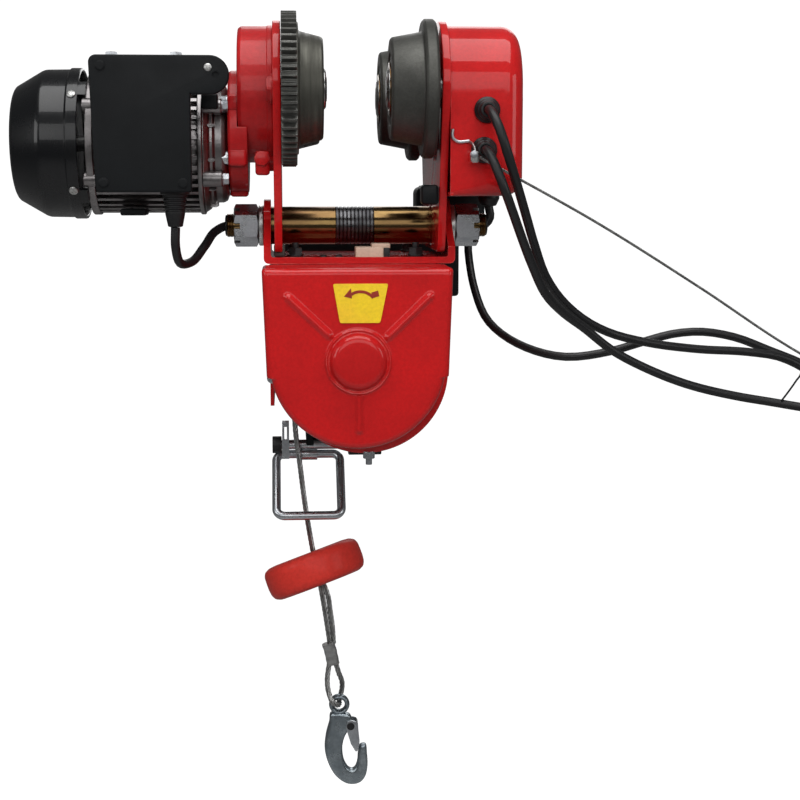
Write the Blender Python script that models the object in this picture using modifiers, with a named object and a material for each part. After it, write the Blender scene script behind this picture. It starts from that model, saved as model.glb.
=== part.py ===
"""Mini electric wire-rope hoist hung from a motorised beam trolley.

Units in the script are millimetres, turned into metres by MM.  +Z is up, the beam runs along Y and the
four wheels stand on the top of its lower flange.  The origin is the middle of that running surface.
"""

from math import acos, asin, cos, degrees, pi, radians, sin, tan

import bmesh
import bpy
import numpy as np
from mathutils import Matrix, Vector

MM = 0.001
GAP = 0.3  # clearance between pieces that touch

# Trolley
AXLE_Y = 70.0  # half the wheelbase
AXLE_Z = 39.5
AXLE_R = 8.0
PLATE_IN, PLATE_OUT = 59.5, 65.5
PLATE_TOP, PLATE_BOTTOM = 91.5, -83.0
PLATE_HALF, PLATE_FOOT_HALF, PLATE_CORNER = 98.0, 62.0, 50.0
SHAFT_Z, SHAFT_R, SHAFT_BORE, SHAFT_END, STUB_R = -64.0, 15.0, 6.5, 103.5, 9.5
LEG_IN, LEG_OUT = 68.5, 74.0
NUT_IN, NUT_OUT, NUT_R, WASHER_OUT, WASHER_R = 74.3, 98.0, 17.0, 78.3, 16.2

# Wheel gearing
WHEEL_MODULE, WHEEL_TEETH, PINION_TEETH = 2.0, 55, 15
GEAR_X0, GEAR_X1 = -59.0, -47.5
TREAD_END, TREAD_BIG_R, TREAD_SMALL_R = 28.0, 42.0, 38.0
IDLER_X0, IDLER_X1, IDLER_END, IDLER_FLANGE_R = 55.5, 45.5, 22.0, 51.5

# Trolley gearbox and motor
BOX_MODULE, BOX_GEAR_TEETH, BOX_PINION_TEETH = 1.25, 48, 14
MOTOR_Z = AXLE_Z - BOX_MODULE * (BOX_GEAR_TEETH + BOX_PINION_TEETH) / 2
MOTOR_SHAFT_R = 6.0
HOUSING_R, HOUSING_Z, HOUSING_X0, HOUSING_X1 = 54.0, 38.5, -93.0, -65.8
FLANGE_R, FLANGE_Z, FLANGE_X0, FLANGE_X1 = 47.5, 9.7, -100.5, -85.5
BELL_X0, STATOR_X0, COVER_X0, MOTOR_END = -120.0, -205.0, -206.5, -266.0
STATOR_R, BELL_R, FAN_COVER_R = 54.0, 46.0, 58.5

# Terminal box on the trolley motor
LID_Y0, LID_Y1, TERMINAL_Y1 = -90.0, -84.0, -55.6
TERMINAL_X0, TERMINAL_X1, TERMINAL_Z0, TERMINAL_Z1 = -200.5, -125.5, -37.0, 62.5
ARM_X1, ARM_Z0 = -97.0, 34.0
GLAND_X, GLAND_Y, GLAND_Z0 = -139.5, -70.0, -63.0

# Control box on the right plate
BOX_X0, BOX_X1, BOX_HALF, BOX_Z0, BOX_Z1 = 65.8, 121.5, 92.0, -40.0, 88.5
BOX_CORNER, BOX_RIM, BOX_WALL = 48.0, 14.0, 2.0
GROMMET_R = 9.0
UPPER_X, UPPER_Z = 92.8, 23.4
LOWER_X, LOWER_Z = 90.8, -6.0
UNDER_X = 106.5  # where the motor cable enters the underside

# Hoist
HOIST_X, DRUM_Z = -4.0, -161.6
BRACKET_Z0, BRACKET_Z1, BRACKET_HALF = -92.0, -87.0, 52.0
COVER_Y0, COVER_Y1 = -110.0, -62.0
COVER_TOP, COVER_HALF, COVER_NOTCH_Z, COVER_NOTCH, COVER_ARC = -92.3, 71.0, -174.0, 4.5, 66.0
BOSS_R, BOSS_HEIGHT = 22.5, 7.0
PAN_Y1 = -54.3
PAN_X, PAN_Z, PAN_R = 3.0, -174.0, 65.0
FRAME_Y0, FRAME_Y1, FRAME_HALF, FRAME_Z0, FRAME_Z1, FRAME_WALL = -54.0, 60.0, 66.0, -202.0, -92.3, 3.0
DRUM_HALF, DRUM_FLANGE_R, DRUM_BARREL_R, DRUM_BORE = 48.0, 51.0, 44.0, 10.0
HOIST_MODULE_1, HOIST_PINION_TEETH, IDLER_BIG_TEETH = 1.25, 12, 44
HOIST_MODULE_2, IDLER_SMALL_TEETH, DRUM_GEAR_TEETH = 1.4, 15, 35
IDLER_Z = DRUM_Z + HOIST_MODULE_1 * (HOIST_PINION_TEETH + IDLER_BIG_TEETH) / 2
HOIST_SHAFT_R, IDLER_BORE = 6.0, 4.0
HOIST_MOTOR_Y0, HOIST_MOTOR_Y1, HOIST_MOTOR_R = 68.3, 178.0, 53.0
HOIST_COVER_Y1 = 222.0
HOIST_TERMINAL = ((-58.0, 84.0, -128.0), (92.0, 150.0, -64.0))
HOIST_TERMINAL_HEAD = ((56.0, 96.0, -66.0), (116.0, 140.0, -34.0))
HOIST_GLAND_X, HOIST_GLAND_Y, HOIST_GLAND_Z0 = 102.5, 108.0, -80.0

# Limit lever, rope, weight and hook
ROPE_Y, ROPE_R = -8.0, 2.2
PIVOT_Y, PIVOT_Z, PIVOT_R = 6.0, -243.0, 4.0
BAIL_R, BAIL_X0, BAIL_X1, BAIL_TOP_Z, BAIL_FOOT_Y, BAIL_FOOT_Z = 3.5, -66.5, -14.5, -251.0, -34.0, -294.0
WEIGHT_AT, WEIGHT_R, WEIGHT_HALF = (-36.2, ROPE_Y, -344.4), 41.0, 14.0
WEIGHT_TILT, WEIGHT_LEAN = radians(-20.0), radians(-14.0)
HOOK_EYE = (-16.5, ROPE_Y, -460.3)
LOOP_ROUTE = [
    (-23.7, -8, -421), (-25.4, -8.5, -430), (-26.4, -9.5, -439), (-25.2, -13, -449), (-21.5, -16.2, -456.5),
    (-17.6, -14.6, -458.9), (-16.5, -11, -458.7), (-16.5, -5, -458.7), (-15.9, -1.0, -457.5), (-14.2, 0.2, -451),
    (-14.0, -3.0, -443), (-17.0, -7.0, -433), (-20.2, -8, -421),
]
HOOK_PIN = (-7.3, ROPE_Y, -477.8)

# Routes of the ropes and cables
ROPE_ROUTE = [
    (-50.5, -8, -112), (-50.5, -8, -170), (-50.5, -8, -232), (-47.9, -8, -253), (-43.0, -8, -294),
    (-37.6, -8, -328), (-31.0, -8, -361), (-26.6, -8, -389), (-24.0, -8, -407.5),
]
MOTOR_CABLE_ROUTE = [
    (GLAND_X, GLAND_Y, GLAND_Z0 - GAP), (-139.8, -69, -78), (-137.5, -62, -90), (-129.5, -47, -90.5),
    (-120, -28, -79), (-112, -10, -68), (-104, -1.5, -64.3), (-94, 0, SHAFT_Z), (-60, 0, SHAFT_Z),
    (0, 0, SHAFT_Z), (60, 0, SHAFT_Z), (97, 0, SHAFT_Z), (103.9, 0, -63.3), (107.6, 0, -58),
    (UNDER_X, 0, -49), (UNDER_X, 0, BOX_Z0 - GAP),
]
HOIST_LEAD_ROUTE = [
    (UPPER_X, -102.5, UPPER_Z), (92.8, -108, 23.2), (95.0, -117, 17.5), (98.6, -122.5, 8), (103.0, -123, -5),
    (108.5, -118, -20), (115.3, -108, -37), (122.5, -96, -55), (131.5, -80, -77), (144.5, -62, -104),
    (160, -50, -123), (176.5, -42, -136.5), (200.4, -31, -149), (231, -24, -157.5), (277.3, -16, -164.5),
    (322, -10, -168.0), (348, -7, -172.5), (366.1, -5, -180.4), (384, -5, -193), (397, -7, -212),
    (403, -9, -240), (404, -10, -275), (404, -4, -304), (404, 18, -325), (404, 44, -318),
    (404, 58, -292), (404, 56, -255), (402, 44, -220), (394, 26, -196), (383, 13, -185.5),
    (370.4, 8, -179.2), (344.5, 8, -168.9), (313.6, 8, -157.3), (283.4, 6, -152.4), (260.2, 4, -154.0),
    (237.3, 2, -159.6), (207, 2, -168.0), (171.5, 6, -172.4), (137.5, 26, -164.5), (114, 54, -147),
    (105.2, 82, -121), (103.2, 101, -101), (102.6, 107, -91), (HOIST_GLAND_X, HOIST_GLAND_Y, HOIST_GLAND_Z0 - 1),
]
PENDANT_ROUTE = [
    (LOWER_X, -102.5, LOWER_Z), (90.9, -108, -6.3), (93.6, -116, -12), (97.5, -121, -22), (102.5, -122, -35),
    (108.8, -117, -50), (116.6, -108, -68), (127.5, -94, -91), (142, -78, -116), (157, -66, -130),
    (174.2, -56, -142), (201.4, -46, -162.5), (229.1, -40, -177), (260.1, -36, -189.5), (306.3, -31, -201.5),
    (335, -31.5, -206.5), (360, -36, -210.5), (381, -44, -213), (397, -51.5, -216.5), (408.5, -55.5, -222),
    (416.5, -56.8, -231),
]
MESSENGER_ROUTE = [(86.2, -105.5, -11.5), (180, -78, -60.5), (270, -48, -113.0), (356, -20, -165.5), (396, -18, -187.5)]
CABLE_R, WIRE_R = 3.5, 1.1
COIL_X, COIL_Y, COIL_Z, COIL_MEAN, COIL_RADIAL, COIL_WIDE = 432.0, -18.0, -240.0, 42.0, 14.0, 21.0
HOOK_ROUTE = [
    (399.5, COIL_Y, -188), (408, COIL_Y, -187.5), (414.5, COIL_Y, -191), (416.8, COIL_Y, -199), (420, COIL_Y, -206),
    (425.5, COIL_Y, -208.7), (432, COIL_Y, -209), (438.5, COIL_Y, -208.7), (444, COIL_Y, -206), (447.2, COIL_Y, -199),
    (448.5, COIL_Y, -190),
]

# Handset
HAND_X0, HAND_X1, HAND_Y0, HAND_Y1, HAND_Z0, HAND_Z1 = 410.0, 454.0, -78.5, -48.5, -492.0, -326.0
ROCKER_X, ROCKER_HALF, ROCKER_HIGH, ROCKER_PROUD = 432.0, 10.0, 34.0, 5.0
LIFT_Z, TRAVEL_Z, STOP_Z, BOOT_Z = -410.0, -456.0, -362.0, -289.5

for old in list(bpy.data.objects):
    bpy.data.objects.remove(old, do_unlink=True)
PARTS = bpy.data.collections.new("beam_trolley_hoist")
CUTTERS = bpy.data.collections.new("cutters")
bpy.context.scene.collection.children.link(PARTS)
bpy.context.scene.collection.children.link(CUTTERS)


def material(name, colour, roughness, metallic):
    made = bpy.data.materials.new(name)
    made.use_nodes = True
    shader = made.node_tree.nodes["Principled BSDF"]
    shader.inputs["Base Color"].default_value = (*colour, 1)
    shader.inputs["Roughness"].default_value = roughness
    shader.inputs["Metallic"].default_value = metallic
    return made


RED = material("red_enamel", (0.55, 0.02, 0.02), 0.35, 0.0)
IRON = material("cast_iron", (0.06, 0.06, 0.05), 0.6, 0.6)
STEEL = material("steel", (0.4, 0.4, 0.4), 0.4, 1.0)
ZINC = material("zinc", (0.6, 0.63, 0.66), 0.35, 1.0)
BRONZE = material("yellow_zinc", (0.45, 0.32, 0.12), 0.3, 1.0)
ALLOY = material("aluminium", (0.55, 0.53, 0.5), 0.45, 1.0)
BLACK = material("black_plastic", (0.01, 0.01, 0.01), 0.35, 0.0)
RUBBER = material("rubber", (0.012, 0.012, 0.012), 0.6, 0.0)
STOP_RED = material("stop_red", (0.6, 0.01, 0.01), 0.4, 0.0)


def turn_to(axis):
    """Rotation that takes a piece's own Z to the world axis given, X to a level axis."""
    return {
        "X": Matrix(((0, 0, 1), (1, 0, 0), (0, 1, 0))),
        "Y": Matrix(((1, 0, 0), (0, 0, 1), (0, -1, 0))),
        "-Y": Matrix(((1, 0, 0), (0, 0, -1), (0, 1, 0))),
        "Z": Matrix.Identity(3),
    }[axis].to_4x4()


def place(obj, name, mat, at=(0, 0, 0), turn=None, collection=PARTS):
    obj.name = name
    obj.data.name = name
    obj.data.materials.clear()
    obj.data.materials.append(mat)
    collection.objects.link(obj)
    obj.matrix_world = Matrix.Translation(Vector(at) * MM) @ (turn or Matrix.Identity(4))
    if collection is CUTTERS:
        obj.hide_render = True
        obj.display_type = "WIRE"
    return obj


def circle(radius, sides, centre=(0, 0), start=0.0):
    return [
        (centre[0] + radius * cos(start + 2 * pi * k / sides), centre[1] + radius * sin(start + 2 * pi * k / sides))
        for k in range(sides)
    ]


def arc(centre, radius, start, end, steps):
    """Points on an arc, both ends in, angles in degrees."""
    return [
        (
            centre[0] + radius * cos(radians(start + (end - start) * k / steps)),
            centre[1] + radius * sin(radians(start + (end - start) * k / steps)),
        )
        for k in range(steps + 1)
    ]


def extruded(name, loops, start, end, mat, axis="X", at=(0, 0, 0), collection=PARTS):
    """A flat outline with holes, from start to end along the axis; axis X reads a loop as (Y, Z), -Y as (X, Z)."""
    curve = bpy.data.curves.new(name, "CURVE")
    curve.dimensions = "2D"
    curve.fill_mode = "BOTH"
    curve.extrude = abs(end - start) / 2 * MM
    for loop in loops:
        spline = curve.splines.new("POLY")
        spline.points.add(len(loop) - 1)
        for point, (x, y) in zip(spline.points, loop):
            point.co = (x * MM, y * MM, 0, 1)
        spline.use_cyclic_u = True
    middle = (start + end) / 2
    shift = {"X": (middle, 0, 0), "Y": (0, middle, 0), "-Y": (0, middle, 0), "Z": (0, 0, middle)}[axis]
    place_at = [a + b for a, b in zip(at, shift)]
    return as_mesh(place(bpy.data.objects.new(name, curve), name, mat, place_at, turn_to(axis), collection))


def as_mesh(curve_object):
    """The same piece as a welded mesh, in the same place."""
    bpy.context.view_layer.update()
    graph = bpy.context.evaluated_depsgraph_get()
    mesh = bpy.data.meshes.new_from_object(curve_object.evaluated_get(graph))
    work = bmesh.new()
    work.from_mesh(mesh)
    bmesh.ops.remove_doubles(work, verts=work.verts, dist=1e-6)
    bmesh.ops.recalc_face_normals(work, faces=work.faces)
    work.to_mesh(mesh)
    work.free()
    name = curve_object.name
    mat = curve_object.data.materials[0]
    matrix = curve_object.matrix_world.copy()
    collection = curve_object.users_collection[0]
    bpy.data.objects.remove(curve_object, do_unlink=True)
    made = place(bpy.data.objects.new(name, mesh), name, mat, collection=collection)
    made.matrix_world = matrix
    return made


def turned(name, profile, mat, at=(0, 0, 0), axis="X", steps=24, collection=PARTS):
    """A profile of (radius, height) points turned round the axis; it closes itself into a solid or a ring."""
    ends_on_axis = profile[0][0] == 0 and profile[-1][0] == 0
    area = sum(a[0] * b[1] - b[0] * a[1] for a, b in zip(profile, profile[1:] + profile[:1]))
    points = profile if area < 0 else profile[::-1]
    mesh = bpy.data.meshes.new(name)
    edges = [(k, k + 1) for k in range(len(points) - 1)]
    if not ends_on_axis:
        edges.append((len(points) - 1, 0))
    mesh.from_pydata([(r * MM, 0, z * MM) for r, z in points], edges, [])
    made = place(bpy.data.objects.new(name, mesh), name, mat, at, turn_to(axis), collection)
    screw = made.modifiers.new("turn", "SCREW")
    screw.steps = steps
    screw.render_steps = steps
    screw.use_merge_vertices = True
    screw.merge_threshold = 0.00001
    screw.use_smooth_shade = True
    return made


def ring(inner, outer, low, high):
    return [(inner, high), (outer, high), (outer, low), (inner, low)]


def box(name, low, high, mat, bevel=0.0, collection=PARTS, segments=2):
    mesh = bpy.data.meshes.new(name)
    work = bmesh.new()
    bmesh.ops.create_cube(work, size=1.0)
    size = [(b - a) * MM for a, b in zip(low, high)]
    bmesh.ops.scale(work, vec=size, verts=work.verts)
    work.to_mesh(mesh)
    work.free()
    middle = [(a + b) / 2 for a, b in zip(low, high)]
    made = place(bpy.data.objects.new(name, mesh), name, mat, middle, collection=collection)
    if bevel:
        rounding = made.modifiers.new("rounding", "BEVEL")
        rounding.width = bevel * MM
        rounding.segments = segments
    return made


def smooth_route(route, spacing):
    """Evenly spaced points on a smooth curve through the route's points."""
    points = np.array(route, float)
    chord = np.concatenate([[0], np.cumsum(np.linalg.norm(np.diff(points, axis=0), axis=1))])
    slope = np.gradient(points, chord, axis=0)
    fine = []
    for k in range(len(points) - 1):
        span = chord[k + 1] - chord[k]
        t = np.linspace(0, 1, 24, endpoint=k == len(points) - 2)[:, None]
        fine.append(
            (2 * t**3 - 3 * t**2 + 1) * points[k] + (t**3 - 2 * t**2 + t) * span * slope[k]
            + (3 * t**2 - 2 * t**3) * points[k + 1] + (t**3 - t**2) * span * slope[k + 1]
        )
    fine = np.concatenate(fine)
    along = np.concatenate([[0], np.cumsum(np.linalg.norm(np.diff(fine, axis=0), axis=1))])
    at = np.linspace(0, along[-1], int(round(along[-1] / spacing)) + 1)
    return np.stack([np.interp(at, along, fine[:, k]) for k in range(3)], axis=1)


def tube(name, points, radius, mat, resolution=2, closed=False, at=(0, 0, 0), collection=PARTS):
    """A round bar along the points; at is the world place of the piece's own origin."""
    curve = bpy.data.curves.new(name, "CURVE")
    curve.dimensions = "3D"
    curve.bevel_depth = radius * MM
    curve.bevel_resolution = resolution
    curve.use_fill_caps = not closed
    spline = curve.splines.new("POLY")
    spline.points.add(len(points) - 1)
    for place_of, point in zip(spline.points, points):
        place_of.co = (*((a - b) * MM for a, b in zip(point, at)), 1)
    spline.use_cyclic_u = closed
    return place(bpy.data.objects.new(name, curve), name, mat, at, collection=collection)


def boolean(target, cutter, operation="DIFFERENCE"):
    change = target.modifiers.new(operation.lower(), "BOOLEAN")
    change.operation = operation
    change.object = cutter
    change.solver = "EXACT"
    return target


def shell(name, rings, wall, mat):
    """An open dish: equal rings of world points joined one to the next, the last one closed with a face."""
    mesh = bpy.data.meshes.new(name)
    work = bmesh.new()
    made = [[work.verts.new(Vector(p) * MM) for p in points] for points in rings]
    for one, two in zip(made, made[1:]):
        for k in range(len(one)):
            work.faces.new((one[k - 1], one[k], two[k], two[k - 1]))
    work.faces.new(made[-1])
    bmesh.ops.recalc_face_normals(work, faces=work.faces)
    work.to_mesh(mesh)
    work.free()
    dish = place(bpy.data.objects.new(name, mesh), name, mat)
    thick = dish.modifiers.new("wall", "SOLIDIFY")
    thick.thickness = wall * MM
    thick.offset = -1
    thick.use_even_offset = True
    return dish


def inset(loop, amount):
    """A loop moved in towards its middle by about the amount."""
    middle = np.mean(np.array(loop), axis=0)
    reach = max(abs(np.array(loop) - middle).max(axis=0))
    share = 1 - amount / reach
    return [tuple(middle + (np.array(p) - middle) * share) for p in loop]


def gear_loop(teeth, module, tooth_at):
    """Involute teeth with backlash, one tooth centred on the angle tooth_at."""
    pitch_r = teeth * module / 2
    base_r = pitch_r * cos(radians(20))
    tip_r, root_r = pitch_r + 0.85 * module, pitch_r - 1.15 * module

    def half_angle(radius):
        alpha = acos(min(1.0, base_r / radius))
        pressure = radians(20)
        backlash = 0.13 * module / pitch_r
        return pi / (2 * teeth) - backlash + (tan(pressure) - pressure) - (tan(alpha) - alpha)

    flank = [(root_r, half_angle(max(root_r, base_r))), (tip_r, half_angle(tip_r))]
    loop = []
    for k in range(teeth):
        middle = tooth_at + 2 * pi * k / teeth
        loop += [(r * cos(middle - a), r * sin(middle - a)) for r, a in flank]
        loop += [(r * cos(middle + a), r * sin(middle + a)) for r, a in reversed(flank)]
    return loop


# ---------------------------------------------------------------- trolley frame


def plate_loop():
    top = PLATE_TOP - PLATE_CORNER
    flat = PLATE_HALF - PLATE_CORNER
    foot = 12.0
    return (
        arc((flat, top), PLATE_CORNER, 0, 90, 8)
        + arc((-flat, top), PLATE_CORNER, 90, 180, 8)
        + arc((-PLATE_FOOT_HALF + foot, PLATE_BOTTOM + foot), foot, 200, 270, 4)
        + arc((PLATE_FOOT_HALF - foot, PLATE_BOTTOM + foot), foot, 270, 340, 4)
    )


def side_plates():
    shared = [plate_loop(), circle(SHAFT_R + GAP, 24, (0, SHAFT_Z))]
    shared += [circle(AXLE_R + GAP, 16, (y, AXLE_Z)) for y in (-AXLE_Y, AXLE_Y)]
    window = circle(PINION_TEETH * WHEEL_MODULE / 2 + 3.5, 24, (0, AXLE_Z))
    extruded("left_side_plate", [*shared, window], -PLATE_OUT, -PLATE_IN, RED)
    extruded("right_side_plate", shared, PLATE_IN, PLATE_OUT, RED)


def cross_shaft():
    half = SHAFT_END
    step = NUT_IN - GAP
    profile = [
        (SHAFT_BORE, -half), (STUB_R, -half), (STUB_R, -step), (SHAFT_R, -step), (SHAFT_R, step), (STUB_R, step),
        (STUB_R, half), (SHAFT_BORE, half),
    ]
    turned("cross_shaft", profile, BRONZE, (0, 0, SHAFT_Z))
    for name, sign in (("left", -1), ("right", 1)):
        low, high = sorted((sign * WASHER_OUT, sign * NUT_OUT))
        loops = [circle(NUT_R, 6), circle(STUB_R + GAP, 24)]
        nut = extruded(f"{name}_castle_nut", loops, low, high, ZINC, at=(0, 0, SHAFT_Z))
        low, high = sorted((sign * NUT_IN, sign * (WASHER_OUT + 1)))
        washer = ring(STUB_R + 2, WASHER_R, low, high)
        boolean(nut, turned(f"{name}_washer", washer, ZINC, (0, 0, SHAFT_Z), collection=CUTTERS), "UNION")
        slot_low, slot_high = sorted((sign * (NUT_OUT - 5), sign * (NUT_OUT + 1)))
        for k in range(3):
            slot = box(
                f"{name}_nut_slot_{k}", (slot_low, -2.2, -NUT_R - 2), (slot_high, 2.2, NUT_R + 2), ZINC,
                collection=CUTTERS,
            )
            turn = Matrix.Rotation(radians(30 + 60 * k), 4, "X")
            slot.matrix_world = Matrix.Translation((0, 0, SHAFT_Z * MM)) @ turn @ slot.matrix_world
            boolean(nut, slot)


def wheels():
    for y, end in ((-AXLE_Y, "front"), (AXLE_Y, "rear")):
        centre = (0, y, AXLE_Z)
        wheel = extruded(
            f"wheel_left_{end}", [gear_loop(WHEEL_TEETH, WHEEL_MODULE, pi), circle(30, 20)], GEAR_X0, GEAR_X1, IRON,
            at=centre,
        )
        bore = AXLE_R + GAP
        tread = [
            (bore, -TREAD_END), (TREAD_SMALL_R - 1, -TREAD_END), (TREAD_SMALL_R, -TREAD_END - 1),
            (TREAD_BIG_R, -45.5), (47.0, -46.0), (47.0, GEAR_X1 - 1.5), (34.0, GEAR_X1 - 1.5),
            (34.0, GEAR_X0 + 1.0), (bore, GEAR_X0 + 1.0),
        ]
        body = turned(f"tread_{end}", tread, IRON, centre, collection=CUTTERS)
        boolean(wheel, body, "UNION")
        idler = [
            (bore, IDLER_END), (TREAD_SMALL_R - 1, IDLER_END), (TREAD_SMALL_R, IDLER_END + 1),
            (TREAD_BIG_R, IDLER_X1), (IDLER_FLANGE_R - 1, IDLER_X1), (IDLER_FLANGE_R, IDLER_X1 + 1),
            (IDLER_FLANGE_R, IDLER_X0 - 1), (IDLER_FLANGE_R - 1, IDLER_X0), (bore, IDLER_X0),
        ]
        turned(f"wheel_right_{end}", idler, IRON, centre)


def axles():
    for y, end in ((-AXLE_Y, "front"), (AXLE_Y, "rear")):
        centre = (0, y, AXLE_Z)
        for side, sign, face in (("left", -1, TREAD_END), ("right", 1, IDLER_END)):
            head = [(0, face - 2.8), (14.0, face - 2.8), (15.0, face - 1.8), (15.0, face - GAP), (AXLE_R, face - GAP)]
            nut = [(AXLE_R, PLATE_OUT + GAP), (10.5, PLATE_OUT + GAP), (10.5, PLATE_OUT + 7), (0, PLATE_OUT + 7)]
            profile = [(r, sign * x) for r, x in head + nut]
            turned(f"axle_{side}_{end}", profile, STEEL, centre, steps=20)


# ---------------------------------------------------------------- trolley drive


def drive_train():
    pinion = extruded(
        "drive_pinion", [gear_loop(PINION_TEETH, WHEEL_MODULE, pi)], GEAR_X0 + 0.5, GEAR_X1 - 0.5, STEEL,
        at=(0, 0, AXLE_Z),
    )
    spindle = turned(
        "spindle", [(0, GEAR_X0 + 2), (6.0, GEAR_X0 + 2), (6.0, -88.5), (0, -88.5)], STEEL, (0, 0, AXLE_Z), steps=20,
        collection=CUTTERS,
    )
    boolean(pinion, spindle, "UNION")
    extruded(
        "drive_gear", [gear_loop(BOX_GEAR_TEETH, BOX_MODULE, 1.5 * pi + pi / BOX_GEAR_TEETH), circle(6 + GAP, 20)],
        -84.0, -76.0, STEEL, at=(0, 0, AXLE_Z),
    )


def gearbox():
    inner, wall = HOUSING_R - 3.5, HOUSING_X0 + 3.5
    cup = [
        (0, wall), (inner, wall), (inner, HOUSING_X1), (HOUSING_R, HOUSING_X1), (HOUSING_R, HOUSING_X0 + 2),
        (HOUSING_R - 2, HOUSING_X0), (0, HOUSING_X0),
    ]
    housing = turned("gearbox_housing", cup, RED, (0, 0, HOUSING_Z), steps=28)
    boolean(housing, cylinder("shaft_hole", 9.5, HOUSING_X0 - 2, wall + 2, (0, 0, MOTOR_Z)))
    flange = turned("gearbox_flange", ring(8.5, FLANGE_R, FLANGE_X0, FLANGE_X1), RED, (0, 0, FLANGE_Z), steps=28)
    boolean(flange, cylinder("housing_seat", HOUSING_R + GAP, HOUSING_X0 - GAP, -60, (0, 0, HOUSING_Z), 40))
    boolean(flange, cylinder("flange_hole", 8.5, FLANGE_X0 - 2, FLANGE_X1 + 2, (0, 0, MOTOR_Z)))


def trolley_motor():
    at = (0, 0, MOTOR_Z)
    shaft = MOTOR_SHAFT_R
    rotor = [
        (0, -76.0), (shaft, -76.0), (shaft, -128), (33, -128), (33, -196), (shaft, -196), (shaft, -240), (0, -240),
    ]
    rod = turned("motor_rotor", rotor, STEEL, at, steps=24)
    pinion = extruded(
        "motor_pinion", [gear_loop(BOX_PINION_TEETH, BOX_MODULE, pi / 2)], -85.0, -75.0, STEEL, at=at,
        collection=CUTTERS,
    )
    boolean(rod, pinion, "UNION")
    bell = [
        (shaft + 1.5, FLANGE_X0 - GAP), (BELL_R - 6, FLANGE_X0 - GAP), (BELL_R, FLANGE_X0 - 5), (BELL_R, -112),
        (STATOR_R, BELL_X0 + 3), (STATOR_R, BELL_X0 + GAP), (34.0, BELL_X0 + GAP), (shaft + 1.5, -112),
    ]
    turned("motor_end_bell", bell, ALLOY, at, steps=28)
    turned("motor_stator", ring(36, STATOR_R, STATOR_X0, BELL_X0), ALLOY, at, steps=28)
    fan = ring(shaft + GAP, 44, -232, -220)
    turned("cooling_fan", fan, BLACK, at, steps=24)
    edge, wall = FAN_COVER_R, 2.5
    cover = [
        (0, MOTOR_END + wall), (40, MOTOR_END + wall), (edge - 2 - wall, -242), (edge - wall, COVER_X0),
        (edge, COVER_X0), (edge - 2, -243.5), (43.5, MOTOR_END + 1), (40, MOTOR_END), (0, MOTOR_END),
    ]
    turned("fan_cover", cover, BLACK, at, steps=28)


def cylinder(name, radius, low, high, at=(0, 0, 0), steps=20, axis="X"):
    """A plain round cutter or lug between two heights along the axis."""
    return turned(name, [(0, high), (radius, high), (radius, low), (0, low)], STEEL, at, axis, steps, CUTTERS)


def terminal_box():
    arm_r = (TERMINAL_Z1 - ARM_Z0) / 2
    lid_loop = (
        [(TERMINAL_X0 + 4, TERMINAL_Z1), (TERMINAL_X0, TERMINAL_Z1 - 4), (TERMINAL_X0 + 3, TERMINAL_Z0)]
        + [(TERMINAL_X1, TERMINAL_Z0), (TERMINAL_X1, ARM_Z0)]
        + arc((ARM_X1 - arm_r, ARM_Z0 + arm_r), arm_r, -90, 90, 8)
    )
    extruded("terminal_box_lid", [lid_loop], LID_Y0, LID_Y1, BLACK, "-Y")
    low = (TERMINAL_X0 + 6, LID_Y1 + GAP, TERMINAL_Z0 + 4)
    box("terminal_box", low, (TERMINAL_X1 - 3, TERMINAL_Y1, TERMINAL_Z1 - 6), BLACK, 2.0)
    top = TERMINAL_Z0 + 4 - GAP
    gland = [
        (0, top), (11.0, top), (11.0, top - 5), (9.0, top - 6), (8.5, top - 16), (5.5, GLAND_Z0), (0, GLAND_Z0),
    ]
    turned("motor_cable_gland", gland, BLACK, (GLAND_X, GLAND_Y, 0), "Z", 20)
    tube("motor_cable", smooth_route(MOTOR_CABLE_ROUTE, 7.5), CABLE_R, RUBBER)


# ---------------------------------------------------------------- control box


def control_box():
    top, flat = BOX_Z1 - BOX_CORNER, BOX_HALF - BOX_CORNER
    outline = (
        arc((flat, top), BOX_CORNER, 0, 90, 8)
        + arc((-flat, top), BOX_CORNER, 90, 180, 8)
        + arc((-BOX_HALF + 3, BOX_Z0 + 3), 3, 180, 270, 2)
        + arc((BOX_HALF - 3, BOX_Z0 + 3), 3, 270, 360, 2)
    )
    rings = [[(BOX_X0, y, z) for y, z in outline]]
    for k in range(4):
        angle = radians(30 * k)
        x = BOX_X1 - BOX_RIM + BOX_RIM * sin(angle)
        rings.append([(x, y, z) for y, z in inset(outline, BOX_RIM * (1 - cos(angle)))])
    cover = shell("control_box", rings, BOX_WALL, RED)
    for name, x, z in (("upper", UPPER_X, UPPER_Z), ("lower", LOWER_X, LOWER_Z)):
        boolean(cover, cylinder(f"{name}_hole", 6.5, -BOX_HALF - 8, -BOX_HALF + 8, (x, 0, z), axis="Y"))
        grommet = [
            (0, -BOX_HALF - 9.0), (5.0, -BOX_HALF - 9.0), (GROMMET_R, -BOX_HALF - 3.5), (GROMMET_R, -BOX_HALF - GAP),
            (6.2, -BOX_HALF - GAP), (6.2, -BOX_HALF + 6), (0, -BOX_HALF + 6),
        ]
        turned(f"{name}_grommet", grommet, RUBBER, (x, 0, z), "Y", 20)


def strain_hook():
    """The wire hook on the front of the control box and the clamp that holds the messenger wire."""
    y = -BOX_HALF - 1.8
    tube("strain_hook", [(67.2, y, 9.5), (67.4, y, 3.0), (69.8, y, 0.8), (79.5, y, 0.6)], 1.2, ZINC, 3)
    box("wire_clamp", (79.0, -108.5, -15.5), (85.5, -101.6, -7.0), ZINC, 1.0)


# ---------------------------------------------------------------- hanger and hoist


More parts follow.
